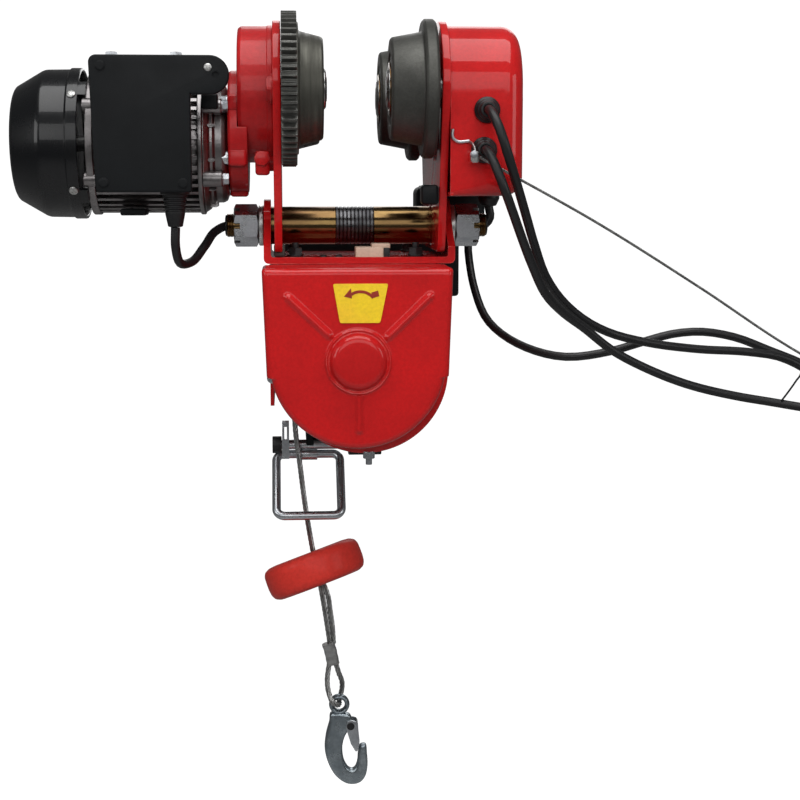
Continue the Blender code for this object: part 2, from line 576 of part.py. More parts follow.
def hanger_bracket():
    z0, z1 = BRACKET_Z0, BRACKET_Z1
    high = SHAFT_Z + 30
    section = [
        (-LEG_OUT + 4, z0), (LEG_OUT - 4, z0), (LEG_OUT, z0 + 4), (LEG_OUT, high), (LEG_IN, high), (LEG_IN, z1 + 2),
        (LEG_IN - 2, z1), (-LEG_IN + 2, z1), (-LEG_IN, z1 + 2), (-LEG_IN, high), (-LEG_OUT, high), (-LEG_OUT, z0 + 4),
    ]
    bracket = extruded("hanger_bracket", [section], -BRACKET_HALF, BRACKET_HALF, RED, "-Y")
    side = [
        (-BRACKET_HALF + 1, z0 - 5), (BRACKET_HALF - 1, z0 - 5), (BRACKET_HALF - 1, z1 + 8),
        *arc((0, SHAFT_Z), 21.0, 15, 165, 10), (-BRACKET_HALF + 1, z1 + 8),
    ]
    cheeks = extruded("cheeks", [side, circle(SHAFT_R + GAP, 24, (0, SHAFT_Z))], -90, 90, RED, collection=CUTTERS)
    boolean(bracket, cheeks, "INTERSECT")


def front_cover():
    def outline(grow):
        half, arc_r = COVER_HALF + grow, COVER_ARC + grow
        edge = HOIST_X - half, HOIST_X + half
        notch_in = half - COVER_NOTCH
        start = -degrees(asin((DRUM_Z - COVER_NOTCH_Z) / arc_r)) - 4
        lower = arc((HOIST_X, DRUM_Z), arc_r, start, -180 - start, 20)
        right = [(edge[1], COVER_TOP + grow), (edge[1] - 3, COVER_NOTCH_Z), (HOIST_X + notch_in - 2, COVER_NOTCH_Z)]
        left = [(HOIST_X - notch_in + 2, COVER_NOTCH_Z), (edge[0] + 3, COVER_NOTCH_Z), (edge[0], COVER_TOP + grow)]
        return right + lower + left

    rings = [
        [(x, COVER_Y1, z) for x, z in outline(0)],
        [(x, COVER_Y0 + 5, z) for x, z in outline(0)],
        [(x, COVER_Y0 + 1.5, z) for x, z in outline(-1.5)],
        [(x, COVER_Y0, z) for x, z in outline(-5)],
    ]
    cover = shell("front_cover", rings, 1.5, RED)
    boss = turned(
        "cover_boss", [
            (0, COVER_Y0 - BOSS_HEIGHT), (BOSS_R - 4, COVER_Y0 - BOSS_HEIGHT), (BOSS_R, COVER_Y0 - BOSS_HEIGHT + 4),
            (BOSS_R, COVER_Y0 + 1), (0, COVER_Y0 + 1),
        ], RED, (HOIST_X, 0, DRUM_Z), "Y", 32, CUTTERS,
    )
    boolean(cover, boss, "UNION")


def hoist_frame():
    x0, x1, wall = HOIST_X - FRAME_HALF, HOIST_X + FRAME_HALF, FRAME_WALL
    section = [
        (x0, FRAME_Z0), (x0 + wall, FRAME_Z0), (x0 + wall, FRAME_Z1 - wall), (x1 - wall, FRAME_Z1 - wall),
        (x1 - wall, FRAME_Z0), (x1, FRAME_Z0), (x1, FRAME_Z1), (x0, FRAME_Z1),
    ]
    extruded("hoist_frame", [section], FRAME_Y0, FRAME_Y1, RED, "-Y")
    pan = (
        [(HOIST_X + FRAME_HALF, FRAME_Z1), (HOIST_X - FRAME_HALF, FRAME_Z1)]
        + arc((PAN_X, PAN_Z), PAN_R, 188, 360, 20)
    )
    plate = extruded("gear_pan", [pan, circle(30, 24, (HOIST_X, DRUM_Z))], COVER_Y1 + GAP, PAN_Y1, RED, "-Y")
    boolean(plate, cylinder("idler_pin", IDLER_BORE, -96, PAN_Y1 - 1, (HOIST_X, 0, IDLER_Z), 16, "Y"), "UNION")
    rear = [(x1, FRAME_Z1), (x0, FRAME_Z1)] + arc((HOIST_X, DRUM_Z), FRAME_HALF, 180, 360, 20)
    extruded(
        "motor_flange", [rear, circle(HOIST_SHAFT_R + 3, 20, (HOIST_X, DRUM_Z))], FRAME_Y1 + GAP,
        HOIST_MOTOR_Y0 - GAP, RED, "-Y",
    )


def hoist_drive():
    axis = (HOIST_X, 0, DRUM_Z)
    half, flange = DRUM_HALF, DRUM_FLANGE_R
    drum = [
        (DRUM_BORE, -half), (flange, -half), (flange, -half + 3), (DRUM_BARREL_R, -half + 3),
        (DRUM_BARREL_R, half - 3), (flange, half - 3), (flange, half), (DRUM_BORE, half),
    ]
    turned("rope_drum", drum, STEEL, axis, "Y", 28)
    gear = extruded(
        "drum_gear", [
            gear_loop(DRUM_GEAR_TEETH, HOIST_MODULE_2, pi / 2 + pi / DRUM_GEAR_TEETH), circle(DRUM_BORE, 20),
        ], -78.0, -68.0, STEEL, "-Y", axis,
    )
    sleeve = turned(
        "drum_sleeve", ring(DRUM_BORE, 17.0, -69.0, -half - GAP), STEEL, axis, "Y", 20, CUTTERS,
    )
    boolean(gear, sleeve, "UNION")
    idler_at = (HOIST_X, 0, IDLER_Z)
    idler = extruded(
        "idler_gear", [
            gear_loop(IDLER_BIG_TEETH, HOIST_MODULE_1, 1.5 * pi + pi / IDLER_BIG_TEETH), circle(IDLER_BORE + GAP, 16),
        ], -92.0, -83.0, STEEL, "-Y", idler_at,
    )
    small = extruded(
        "idler_pinion", [gear_loop(IDLER_SMALL_TEETH, HOIST_MODULE_2, 1.5 * pi), circle(IDLER_BORE + GAP, 16)], -83.5, -67.0,
        STEEL, "-Y", idler_at, CUTTERS,
    )
    boolean(idler, small, "UNION")
    shaft = HOIST_SHAFT_R
    rotor = [
        (0, -83.0), (shaft, -83.0), (shaft, 86), (31, 86), (31, 150), (shaft, 150), (shaft, 184), (42, 184), (42, 194),
        (0, 194),
    ]
    rod = turned("hoist_rotor", rotor, STEEL, axis, "Y", 20)
    pinion = extruded(
        "hoist_pinion", [gear_loop(HOIST_PINION_TEETH, HOIST_MODULE_1, pi / 2)], -92.5, -82.0, STEEL, "-Y", axis,
        CUTTERS,
    )
    boolean(rod, pinion, "UNION")


def hoist_motor():
    axis = (HOIST_X, 0, DRUM_Z)
    front, wall = HOIST_MOTOR_Y0, 5.0
    body = [
        (HOIST_SHAFT_R + 2, front), (HOIST_MOTOR_R - 6, front), (HOIST_MOTOR_R, front + 6),
        (HOIST_MOTOR_R, HOIST_MOTOR_Y1), (34, HOIST_MOTOR_Y1), (34, front + wall), (HOIST_SHAFT_R + 2, front + wall),
    ]
    turned("hoist_motor_body", body, ALLOY, axis, "Y", 28)
    edge, end, skin = HOIST_MOTOR_R + 3, HOIST_COVER_Y1, 2.0
    cover = [
        (0, end - skin), (edge - 14 - skin, end - skin), (edge - skin, end - 14), (edge - skin, HOIST_MOTOR_Y1 + GAP),
        (edge, HOIST_MOTOR_Y1 + GAP), (edge, end - 14), (edge - 14, end), (0, end),
    ]
    turned("hoist_fan_cover", cover, BLACK, axis, "Y", 28)
    terminal = box("hoist_terminal_box", *HOIST_TERMINAL, BLACK)
    boolean(terminal, box("terminal_head", *HOIST_TERMINAL_HEAD, BLACK, 6.0, CUTTERS), "UNION")
    base, low = HOIST_TERMINAL_HEAD[0][2] + 1, HOIST_GLAND_Z0
    gland = [(0, base), (9, base), (9, low + 6), (6, low), (0, low)]
    spot = (HOIST_GLAND_X, HOIST_GLAND_Y, 0)
    boolean(terminal, turned("hoist_gland", gland, BLACK, spot, "Z", 20, CUTTERS), "UNION")
    boolean(terminal, cylinder("motor_seat", HOIST_MOTOR_R + GAP, 60, 200, axis, 40, "Y"))


# ---------------------------------------------------------------- limit switch, rope and hook


def limit_switch():
    pivot = (0, PIVOT_Y, PIVOT_Z)
    switch = box("limit_switch_box", (-42, 12, PIVOT_Z), (-8, FRAME_Y1, -214), BLACK)
    for k, x in enumerate((-42, -14)):
        ear = box(f"pivot_ear_{k}", (x, -1, PIVOT_Z), (x + 6, 13, PIVOT_Z + 9), BLACK, collection=CUTTERS)
        boolean(switch, ear, "UNION")
    boolean(switch, cylinder("pivot_seat", PIVOT_R + GAP, -50, 0, pivot, 16))
    rod = [(0, -67.5), (PIVOT_R, -67.5), (PIVOT_R, -8.5), (0, -8.5)]
    turned("limit_pivot", rod, ZINC, pivot, steps=16)
    top = Vector((0, PIVOT_Y, BAIL_TOP_Z))
    foot = Vector((0, BAIL_FOOT_Y, BAIL_FOOT_Z))
    along = (foot - top).length
    down = (foot - top).normalized()
    middle, half, bend = (BAIL_X0 + BAIL_X1) / 2, (BAIL_X1 - BAIL_X0) / 2, 7.0
    loop = (
        arc((half - bend, bend), bend, -90, 0, 3)
        + arc((half - bend, along - bend), bend, 0, 90, 3)
        + arc((-half + bend, along - bend), bend, 90, 180, 3)
        + arc((-half + bend, bend), bend, 180, 270, 3)
    )
    points = [Vector((middle + x, 0, 0)) + top + down * s for x, s in loop]
    tube("limit_lever", points, BAIL_R, ZINC, 2, True, (middle, PIVOT_Y, PIVOT_Z))


def rope_and_hook():
    tube("hoist_rope", smooth_route(ROPE_ROUTE, 8.0), ROPE_R, ZINC)
    fall = (Vector(ROPE_ROUTE[6]) - Vector(ROPE_ROUTE[4])).normalized()
    edge = WEIGHT_HALF - 4
    profile = [
        (0, WEIGHT_HALF), (WEIGHT_R - 6, WEIGHT_HALF), (WEIGHT_R - 2, WEIGHT_HALF - 2), (WEIGHT_R, edge),
        (WEIGHT_R, -edge), (WEIGHT_R - 2, 2 - WEIGHT_HALF), (WEIGHT_R - 6, -WEIGHT_HALF), (0, -WEIGHT_HALF),
    ]
    weight = turned("stop_weight", profile, RED, WEIGHT_AT, "Z", 32)
    tilt = Matrix.Rotation(WEIGHT_LEAN, 4, "X") @ Matrix.Rotation(WEIGHT_TILT, 4, "Y")
    weight.matrix_world = weight.matrix_world @ tilt
    bore = turned("rope_bore", [(0, 40), (5.5, 40), (5.5, -40), (0, -40)], STEEL, WEIGHT_AT, "Z", 20, CUTTERS)
    bore.matrix_world = Matrix.Translation(bore.matrix_world.translation) @ (
        Vector((0, 0, -1)).rotation_difference(fall).to_matrix().to_4x4()
    )
    boolean(weight, bore)
    ferrule = box("rope_ferrule", (-27.6, ROPE_Y - 3.6, -425.5), (-18.6, ROPE_Y + 3.6, -408.0), ALLOY, 1.5)
    ferrule.matrix_world = ferrule.matrix_world @ Matrix.Rotation(radians(-9), 4, "Y")
    loop = tube("rope_loop", smooth_route(LOOP_ROUTE, 4.5), ROPE_R, ZINC, collection=CUTTERS)
    boolean(ferrule, as_mesh(loop), "UNION")


def hook_and_latch():
    """A forged eye hook: the eye's hole runs along Y, the bill opens to +X behind a sheet latch."""
    x, y, z = HOOK_EYE
    throat = [(7.0, -8.0), (10.5, -12.2), (12.6, -14.9), (13.4, -17.5), (12.6, -20.1), (10.2, -21.6), (7.0, -23.2)]
    seat = [(4.6, -27.0), (3.0, -32.0), (2.3, -38.0), (3.4, -47.5), (6.5, -54.0), (10.0, -56.2), (13.0, -54.5)]
    bill = [(14.8, -49.0), (15.4, -42.0), (17.2, -35.6), (22.0, -35.4), (22.9, -42.0), (23.4, -52.0), (21.8, -61.5)]
    back = [(17.4, -67.4), (10.6, -69.2), (3.4, -67.2), (-4.2, -60.4), (-9.8, -49.5), (-12.4, -37.5), (-11.2, -25.0)]
    back += [(-8.5, -15.0), (-6.5, -7.0)]
    loop = [(x + a, z + b) for a, b in throat + seat + bill + back]
    hook = extruded("hook", [loop], y - 4.5, y + 4.5, ZINC, "-Y")
    boolean(hook, turned("eye_ring", ring(4.6, 8.6, -4.0, 4.0), ZINC, (x, y, z), "Y", 24, CUTTERS), "UNION")
    boolean(hook, cylinder("eye_bore", 4.5, y - 9, y + 9, (x, 0, z), 24, "Y"))
    pin_x, pin_z = HOOK_PIN[0], HOOK_PIN[2]
    boolean(hook, cylinder("pin_bore", 2.0 + GAP, y - 9, y + 9, (pin_x, 0, pin_z), 16, "Y"))
    side = [
        (6.4, -13.2), (10.0, -12.6), (14.0, -13.6), (15.4, -15.5), (15.6, -20.0), (16.6, -30.0), (16.3, -34.5),
        (14.7, -39.4), (13.2, -39.6), (9.4, -33.0), (7.0, -25.0), (5.2, -18.5),
    ]
    latch = extruded("hook_latch", [[(x + a, z + b) for a, b in side]], y - 6.0, y + 6.0, ZINC, "-Y")
    shank = box("latch_slot", (x - 5, y - 4.8, z - 45), (x + 13.9, y + 4.8, z), ZINC, collection=CUTTERS)
    boolean(latch, shank)
    boolean(latch, cylinder("latch_pin", 2.0, y - 5.5, y + 5.5, (pin_x, 0, pin_z), 16, "Y"), "UNION")


# ---------------------------------------------------------------- cables and handset


def cables():
    tube("hoist_lead", smooth_route(HOIST_LEAD_ROUTE, 18.0), CABLE_R, RUBBER)
    tube("pendant_cable", smooth_route(PENDANT_ROUTE, 12.0), CABLE_R, RUBBER)
    tube("messenger_wire", smooth_route(MESSENGER_ROUTE, 20.0), WIRE_R, ZINC)
    tube("wire_hook", smooth_route(HOOK_ROUTE, 6.0), 2.5, ZINC)
    inner, outer, half = COIL_MEAN - COIL_RADIAL / 2, COIL_MEAN + COIL_RADIAL / 2, COIL_WIDE / 2
    cut = 4.0
    profile = [
        (inner, half - cut), (inner + cut, half), (outer - cut, half), (outer, half - cut), (outer, cut - half),
        (outer - cut, -half), (inner + cut, -half), (inner, cut - half),
    ]
    turned("pendant_coil", profile, RUBBER, (COIL_X, COIL_Y, COIL_Z), steps=32)


def handset():
    body = box("handset", (HAND_X0, HAND_Y0, HAND_Z0), (HAND_X1, HAND_Y1, HAND_Z1), BLACK, 5.0)
    middle = (HAND_Y0 + HAND_Y1) / 2
    boot = [(0, BOOT_Z), (5.0, BOOT_Z), (9.0, HAND_Z1 + 6), (9.0, HAND_Z1 - 1), (0, HAND_Z1 - 1)]
    boolean(body, turned("boot", boot, BLACK, (ROCKER_X, middle, 0), "Z", 20, CUTTERS), "UNION")
    x0, x1, floor = ROCKER_X - ROCKER_HALF, ROCKER_X + ROCKER_HALF, HAND_Y0 + 10
    for name, z in (("lift_rocker", LIFT_Z), ("travel_rocker", TRAVEL_Z)):
        half, room = ROCKER_HIGH / 2, 1.6
        low = (x0 - GAP, HAND_Y0 - 5, z - half - room)
        pocket = box(f"{name}_pocket", low, (x1 + GAP, floor, z + half + room), BLACK, collection=CUTTERS)
        boolean(body, pocket)
        crest, valley, back = HAND_Y0 - ROCKER_PROUD, HAND_Y0 - 2.0, floor - 3
        side = [(back, z - half), (crest, z - half), (valley, z), (crest, z + half), (back, z + half)]
        extruded(name, [side], x0, x1, BLACK)
    hole = cylinder("stop_hole", 6.4, HAND_Y0 - 5, floor + 4, (ROCKER_X, 0, STOP_Z), 20, "Y")
    boolean(body, hole)
    face = HAND_Y0 - 4.6
    button = [
        (0, face - 10), (10.5, face - 10), (13.0, face - 7.5), (13.0, face), (6.0, face), (6.0, floor - 1), (0, floor - 1),
    ]
    turned("stop_button", button, STOP_RED, (ROCKER_X, 0, STOP_Z), "Y", 24)


side_plates()
cross_shaft()
wheels()
axles()
drive_train()
gearbox()
trolley_motor()
terminal_box()
control_box()
strain_hook()
hanger_bracket()
hoist_frame()
front_cover()
hoist_drive()
hoist_motor()
limit_switch()
rope_and_hook()
hook_and_latch()
cables()
handset()
bpy.context.view_layer.update()
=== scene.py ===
"""Looks of a mini electric wire-rope hoist on a motorised beam trolley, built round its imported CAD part.

Lengths are written in millimetres and turned into metres by MM.  The frame is the CAD part's own: +Z up,
the beam along Y, the origin in the middle of the running surface of the beam's lower flange.
"""

from math import acos, asin, cos, degrees, hypot, pi, radians, sin, tan

import bmesh
import bpy
import numpy as np
from mathutils import Matrix, Vector
from mathutils.geometry import tessellate_polygon


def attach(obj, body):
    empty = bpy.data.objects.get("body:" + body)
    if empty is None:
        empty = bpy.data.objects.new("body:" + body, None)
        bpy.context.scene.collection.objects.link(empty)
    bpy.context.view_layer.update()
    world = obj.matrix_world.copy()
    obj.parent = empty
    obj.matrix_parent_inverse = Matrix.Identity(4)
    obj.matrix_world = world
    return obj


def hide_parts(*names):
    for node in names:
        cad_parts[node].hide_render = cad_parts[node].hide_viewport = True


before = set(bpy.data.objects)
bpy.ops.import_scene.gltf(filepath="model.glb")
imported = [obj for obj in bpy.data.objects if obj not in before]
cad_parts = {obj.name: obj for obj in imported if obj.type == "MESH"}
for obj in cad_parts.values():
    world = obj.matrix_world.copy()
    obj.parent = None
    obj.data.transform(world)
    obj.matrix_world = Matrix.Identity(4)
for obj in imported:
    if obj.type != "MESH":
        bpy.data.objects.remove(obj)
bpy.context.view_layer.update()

MM = 0.001
AXES = {
    "X": ((0, 1, 0), (0, 0, 1), (1, 0, 0)),
    "Y": ((1, 0, 0), (0, 0, -1), (0, 1, 0)),
    "Z": ((1, 0, 0), (0, 1, 0), (0, 0, 1)),
}

# Places shared with the CAD part, in millimetres
AXLE_Y, AXLE_Z, MOTOR_Z, SHAFT_Z = 70.0, 39.5, 0.125, -64.0
HOIST_X, DRUM_Z, IDLER_Z = -4.0, -161.6, -126.6
ROPE_Y, ROPE_R, CABLE_R, WIRE_R = -8.0, 2.2, 3.5, 1.1
HANDSET_X = 432
LIFT_Z, TRAVEL_Z, STOP_Z = -410.0, -456.0, -362
COIL = (432.0, -18.0, -240.0)
PIVOT = (0.0, 6.0, -243.0)
EYE = (-16.5, ROPE_Y, -460.3)
WEIGHT_AT, WEIGHT_BORE_AT = (-36.2, ROPE_Y, -344.4), (-34.9, ROPE_Y, -343.5)
UPPER_HOLE, LOWER_HOLE = (92.8, 23.4), (90.8, -6.0)
BLADES = 9

ROPE_ROUTE = [
    (-50.5, -8, -112), (-50.5, -8, -170), (-50.5, -8, -232), (-47.9, -8, -253), (-43.0, -8, -294),
    (-37.6, -8, -328), (-31.0, -8, -361), (-26.6, -8, -389), (-24.0, -8, -407.5),
]
LOOP_ROUTE = [
    (-23.7, -8, -421), (-25.4, -8.5, -430), (-26.4, -9.5, -439), (-25.2, -13, -449), (-21.5, -16.2, -456.5),
    (-17.6, -14.6, -458.9), (-16.5, -11, -458.7), (-16.5, -5, -458.7), (-15.9, -1.0, -457.5),
    (-14.2, 0.2, -451),
    (-14.0, -3.0, -443), (-17.0, -7.0, -433), (-20.2, -8, -421),
]
HOIST_LEAD_ROUTE = [
    (92.8, -102.5, 23.4), (92.8, -108, 23.2), (95.0, -117, 17.5), (98.6, -122.5, 8), (103.0, -123, -5),
    (108.5, -118, -20), (115.3, -108, -37), (122.5, -96, -55), (131.5, -80, -77), (144.5, -62, -104),
    (160, -50, -123), (176.5, -42, -136.5), (200.4, -31, -149), (231, -24, -157.5), (277.3, -16, -164.5),
    (322, -10, -168.0), (348, -7, -172.5), (366.1, -5, -180.4), (384, -5, -193), (397, -7, -212),
    (403, -9, -240), (404, -10, -275), (404, -4, -304), (404, 18, -325), (404, 44, -318),
    (404, 58, -292), (404, 56, -255), (402, 44, -220), (394, 26, -196), (383, 13, -185.5),
    (370.4, 8, -179.2), (344.5, 8, -168.9), (313.6, 8, -157.3), (283.4, 6, -152.4), (260.2, 4, -154.0),
    (237.3, 2, -159.6), (207, 2, -168.0), (171.5, 6, -172.4), (137.5, 26, -164.5), (114, 54, -147),
    (105.2, 82, -121), (103.2, 101, -101), (102.6, 107, -91), (102.5, 108, -81),
]
PENDANT_ROUTE = [
    (90.8, -102.5, -6.0), (90.9, -108, -6.3), (93.6, -116, -12), (97.5, -121, -22), (102.5, -122, -35),
    (108.8, -117, -50), (116.6, -108, -68), (127.5, -94, -91), (142, -78, -116), (157, -66, -130),
    (174.2, -56, -142), (201.4, -46, -162.5), (229.1, -40, -177), (260.1, -36, -189.5), (306.3, -31, -201.5),
    (335, -31.5, -206.5), (360, -36, -210.5), (381, -44, -213), (397, -51.5, -216.5), (408.5, -55.5, -222),
    (416.5, -56.8, -231), (422, -56.6, -240.5),
]
MOTOR_CABLE_ROUTE = [
    (-139.5, -70, -63.3), (-139.8, -69, -78), (-137.5, -62, -90), (-129.5, -47, -90.5), (-120, -28, -79),
    (-112, -10, -68), (-104, -1.5, -64.3), (-94, 0, SHAFT_Z), (-60, 0, SHAFT_Z), (0, 0, SHAFT_Z),
    (60, 0, SHAFT_Z),
    (97, 0, SHAFT_Z), (103.9, 0, -63.3), (107.6, 0, -58), (106.5, 0, -49), (106.5, 0, -40.3),
]
MESSENGER_ROUTE = [(86.2, -105.5, -11.5), (180, -78, -60.5), (270, -48, -113.0), (356, -20, -165.5),
                   (396, -18, -187.5)]
HOOK_ROUTE = [
    (399.5, -18, -188), (408, -18, -187.5), (414.5, -18, -191), (416.8, -18, -199), (420, -18, -206),
    (425.5, -18, -208.7), (432, -18, -209), (438.5, -18, -208.7), (444, -18, -206), (447.2, -18, -199),
    (448.5, -18, -190),
]


# ---------------------------------------------------------------- camera and room


def seen_white(tree, socket, seen, lit):
    """Sets one strength for the camera and another for the light given to everything else."""
    path = tree.nodes.new("ShaderNodeLightPath")
    change = tree.nodes.new("ShaderNodeMapRange")
    change.inputs["To Min"].default_value = lit
    change.inputs["To Max"].default_value = seen
    tree.links.new(path.outputs["Is Camera Ray"], change.inputs["Value"])
    tree.links.new(change.outputs["Result"], socket)


def camera_and_room():
    data = bpy.data.cameras.new("camera")
    data.lens = 70.02
    camera = bpy.data.objects.new("camera", data)
    camera.location = (-0.0555, -1.256, -0.0265)
    camera.rotation_euler = (radians(90 - 8.1198), 0, radians(-4.1122))
    bpy.context.scene.collection.objects.link(camera)
    bpy.context.scene.camera = camera

    world = bpy.data.worlds.new("studio")
    world.use_nodes = True
    bpy.context.scene.world = world
    tree = world.node_tree
    sky = tree.nodes["Background"]
    sky.inputs["Color"].default_value = (1, 1, 1, 1)
    seen_white(tree, sky.inputs["Strength"], 1.0, 0.10)
    bpy.context.scene.view_settings.view_transform = "Standard"

    for name, at, size, power, turn in (
        ("fill", (0.0, -2.3, 0.73), (2.6, 1.1), 30, (66, 0, 0)),
        ("window", (0.0, -2.4, 0.73), (2.6, 1.1), 12, (66, 0, 0)),
        ("overhead", (0.0, -0.45, 1.45), (1.9, 1.4), 24, (14, 0, 0)),
        ("left_box", (-1.5, -1.0, 0.4), (0.8, 0.8), 4.5, (70, 0, -56)),
        ("right_box", (1.5, -1.0, 0.3), (0.7, 0.7), 3, (72, 0, 56)),
        ("rear_box", (0.3, 1.7, 0.7), (1.2, 1.2), 7, (-68, 0, 8)),
    ):
        lamp = bpy.data.lights.new(name, "AREA")
        lamp.shape = "RECTANGLE"
        lamp.size, lamp.size_y = size
        lamp.energy = power
        light = bpy.data.objects.new(name, lamp)
        light.location = at
        light.rotation_euler = [radians(a) for a in turn]
        light.visible_glossy = name != "fill"
        bpy.context.scene.collection.objects.link(light)

    mesh = bpy.data.meshes.new("floor")
    reach, low, far = 6.0, -1.25, 3.2
    rows = [(-5.0, low), (far, low)]
    rows += [(far + 1.5 * sin(radians(a)), low + 1.5 - 1.5 * cos(radians(a))) for a in range(10, 91, 10)]
    rows.append((far + 1.5, 6.0))
    verts = [(x, y, z) for y, z in rows for x in (-reach, reach)]
    faces = [(2 * k, 2 * k + 1, 2 * k + 3, 2 * k + 2) for k in range(len(rows) - 1)]
    mesh.from_pydata(verts, [], faces)
    mesh.shade_smooth()
    floor = bpy.data.objects.new("floor", mesh)
    bpy.context.scene.collection.objects.link(floor)
    paper = bpy.data.materials.new("paper")
    paper.use_nodes = True
    shader = paper.node_tree.nodes["Principled BSDF"]
    shader.inputs["Base Color"].default_value = (0.3, 0.3, 0.3, 1)
    shader.inputs["Roughness"].default_value = 0.9
    shader.inputs["Emission Color"].default_value = (1, 1, 1, 1)
    seen_white(paper.node_tree, shader.inputs["Emission Strength"], 1.0, 0.05)
    mesh.materials.append(paper)


# ---------------------------------------------------------------- finishes


def finish_of(
    name, slot, colour, rough, metal=0.0, second=None, coat=0.0, grain=700.0, bump=0.2, depth=0.15,
    patch=22.0,
    vary=0.35, rough_vary=0.12, stretch=(1, 1, 1), wear=None, specular=0.5,
):
    """A procedural finish: patchy colour, uneven roughness, grain, a soft waviness and paler worn edges."""
    made = bpy.data.materials.new(name)
    made.use_nodes = True
    nodes, links = made.node_tree.nodes, made.node_tree.links
    shader = nodes["Principled BSDF"]
    shader.inputs["Metallic"].default_value = metal
    shader.inputs["Coat Weight"].default_value = coat
    shader.inputs["Coat Roughness"].default_value = 0.04
    shader.inputs["Specular IOR Level"].default_value = specular

    where = nodes.new("ShaderNodeTexCoord")
    scaled = nodes.new("ShaderNodeMapping")
    scaled.inputs["Scale"].default_value = stretch
    links.new(where.outputs["Object"], scaled.inputs["Vector"])

    def noise(scale, detail, roughness=0.55):
        made_noise = nodes.new("ShaderNodeTexNoise")
        made_noise.inputs["Scale"].default_value = scale
        made_noise.inputs["Detail"].default_value = detail
        made_noise.inputs["Roughness"].default_value = roughness
        links.new(scaled.outputs["Vector"], made_noise.inputs["Vector"])
        return made_noise.outputs["Fac"]

    def ranged(value, low, high, to_low, to_high):
        change = nodes.new("ShaderNodeMapRange")
        change.inputs["From Min"].default_value = low
        change.inputs["From Max"].default_value = high
        change.inputs["To Min"].default_value = to_low
        change.inputs["To Max"].default_value = to_high
        links.new(value, change.inputs["Value"])
        return change.outputs["Result"]

    def mixed(factor, one, two):
        blend = nodes.new("ShaderNodeMix")
        blend.data_type = "RGBA"
        links.new(factor, blend.inputs["Factor"])
        for socket, value in ((blend.inputs["A"], one), (blend.inputs["B"], two)):
            if isinstance(value, tuple):
                socket.default_value = (*value, 1)
            else:
                links.new(value, socket)
        return blend.outputs["Result"]

    patches = noise(patch, 4.0)
    fine = noise(grain, 3.0, 0.65)
    other = second or tuple(c * (1 - vary) for c in colour)
    body = mixed(ranged(patches, 0.35, 0.65, 0.0, 1.0), colour, other)
    speck = mixed(ranged(fine, 0.35, 0.7, 0.0, 0.35), body, tuple(c * 0.6 for c in other))
    result = speck
    if wear:
        round_edge = nodes.new("ShaderNodeBevel")
        round_edge.samples = 4
        round_edge.inputs["Radius"].default_value = 0.0009
        flat = nodes.new("ShaderNodeNewGeometry")
        dot = nodes.new("ShaderNodeVectorMath")
        dot.operation = "DOT_PRODUCT"
        links.new(round_edge.outputs["Normal"], dot.inputs[0])
        links.new(flat.outputs["Normal"], dot.inputs[1])
        edge = nodes.new("ShaderNodeMath")
        edge.operation = "MULTIPLY"
        links.new(ranged(dot.outputs["Value"], 0.985, 0.9, 0.0, 0.8), edge.inputs[0])
        links.new(ranged(noise(90.0, 3.0), 0.42, 0.62, 0.0, 1.0), edge.inputs[1])
        result = mixed(edge.outputs["Value"], speck, wear)
    links.new(result, shader.inputs["Base Color"])
    links.new(ranged(patches, 0.3, 0.7, max(0.03, rough - rough_vary), rough + rough_vary),
              shader.inputs["Roughness"])

    ripple = nodes.new("ShaderNodeBump")
    ripple.inputs["Strength"].default_value = bump
    ripple.inputs["Distance"].default_value = depth * MM
    links.new(fine, ripple.inputs["Height"])
    wave = nodes.new("ShaderNodeBump")
    wave.inputs["Strength"].default_value = 0.25
    wave.inputs["Distance"].default_value = 0.6 * MM
    links.new(patches, wave.inputs["Height"])
    links.new(ripple.outputs["Normal"], wave.inputs["Normal"])
    links.new(wave.outputs["Normal"], shader.inputs["Normal"])
    return made, slot


RED = finish_of(
    "red_enamel", "red_enamel", (0.56, 0.010, 0.011), 0.42, coat=0.8, grain=420, bump=0.12, depth=0.2,
    vary=0.18,
    specular=0.1,
    wear=(0.72, 0.16, 0.14),
)
RED_CAST = finish_of(
    "red_cast_enamel", "red_enamel", (0.50, 0.012, 0.014), 0.40, coat=0.3, specular=0.25, grain=260, bump=0.5,
    depth=0.5, vary=0.25,
    wear=(0.62, 0.12, 0.10),
)
RED_PLASTIC = finish_of(
    "red_weight_enamel", "red_enamel", (0.68, 0.042, 0.030), 0.45, coat=0.1, specular=0.15, grain=330,
    bump=0.3, depth=0.3, vary=0.2,
)
IRON = finish_of(
    "cast_iron", "cast_iron", (0.115, 0.115, 0.105), 0.52, 0.75, grain=520, bump=0.55, depth=0.35, vary=0.4,
    wear=(0.42, 0.42, 0.40), specular=0.4,
)
TURNED = finish_of(
    "turned_iron", "cast_iron", (0.12, 0.118, 0.10), 0.46, 0.8, grain=900, bump=0.2, stretch=(14, 1, 1),
    vary=0.35,
)
STEEL = finish_of("steel", "steel", (0.52, 0.52, 0.51), 0.30, 1.0, grain=800, bump=0.15, vary=0.3)
ZINC = finish_of(
    "zinc", "zinc", (0.74, 0.76, 0.78), 0.31, 1.0, (0.55, 0.58, 0.62), grain=600, bump=0.15, patch=60,
    rough_vary=0.1,
)
FORGED = finish_of(
    "forged_zinc", "zinc", (0.50, 0.56, 0.59), 0.30, 1.0, (0.27, 0.32, 0.36), grain=380, bump=0.35, depth=0.3,
    patch=45,
)
GREY_ZINC = finish_of(
    "grey_zinc", "yellow_zinc", (0.15, 0.15, 0.155), 0.30, 1.0, (0.08, 0.08, 0.085), grain=700, bump=0.25,
    patch=80,
)
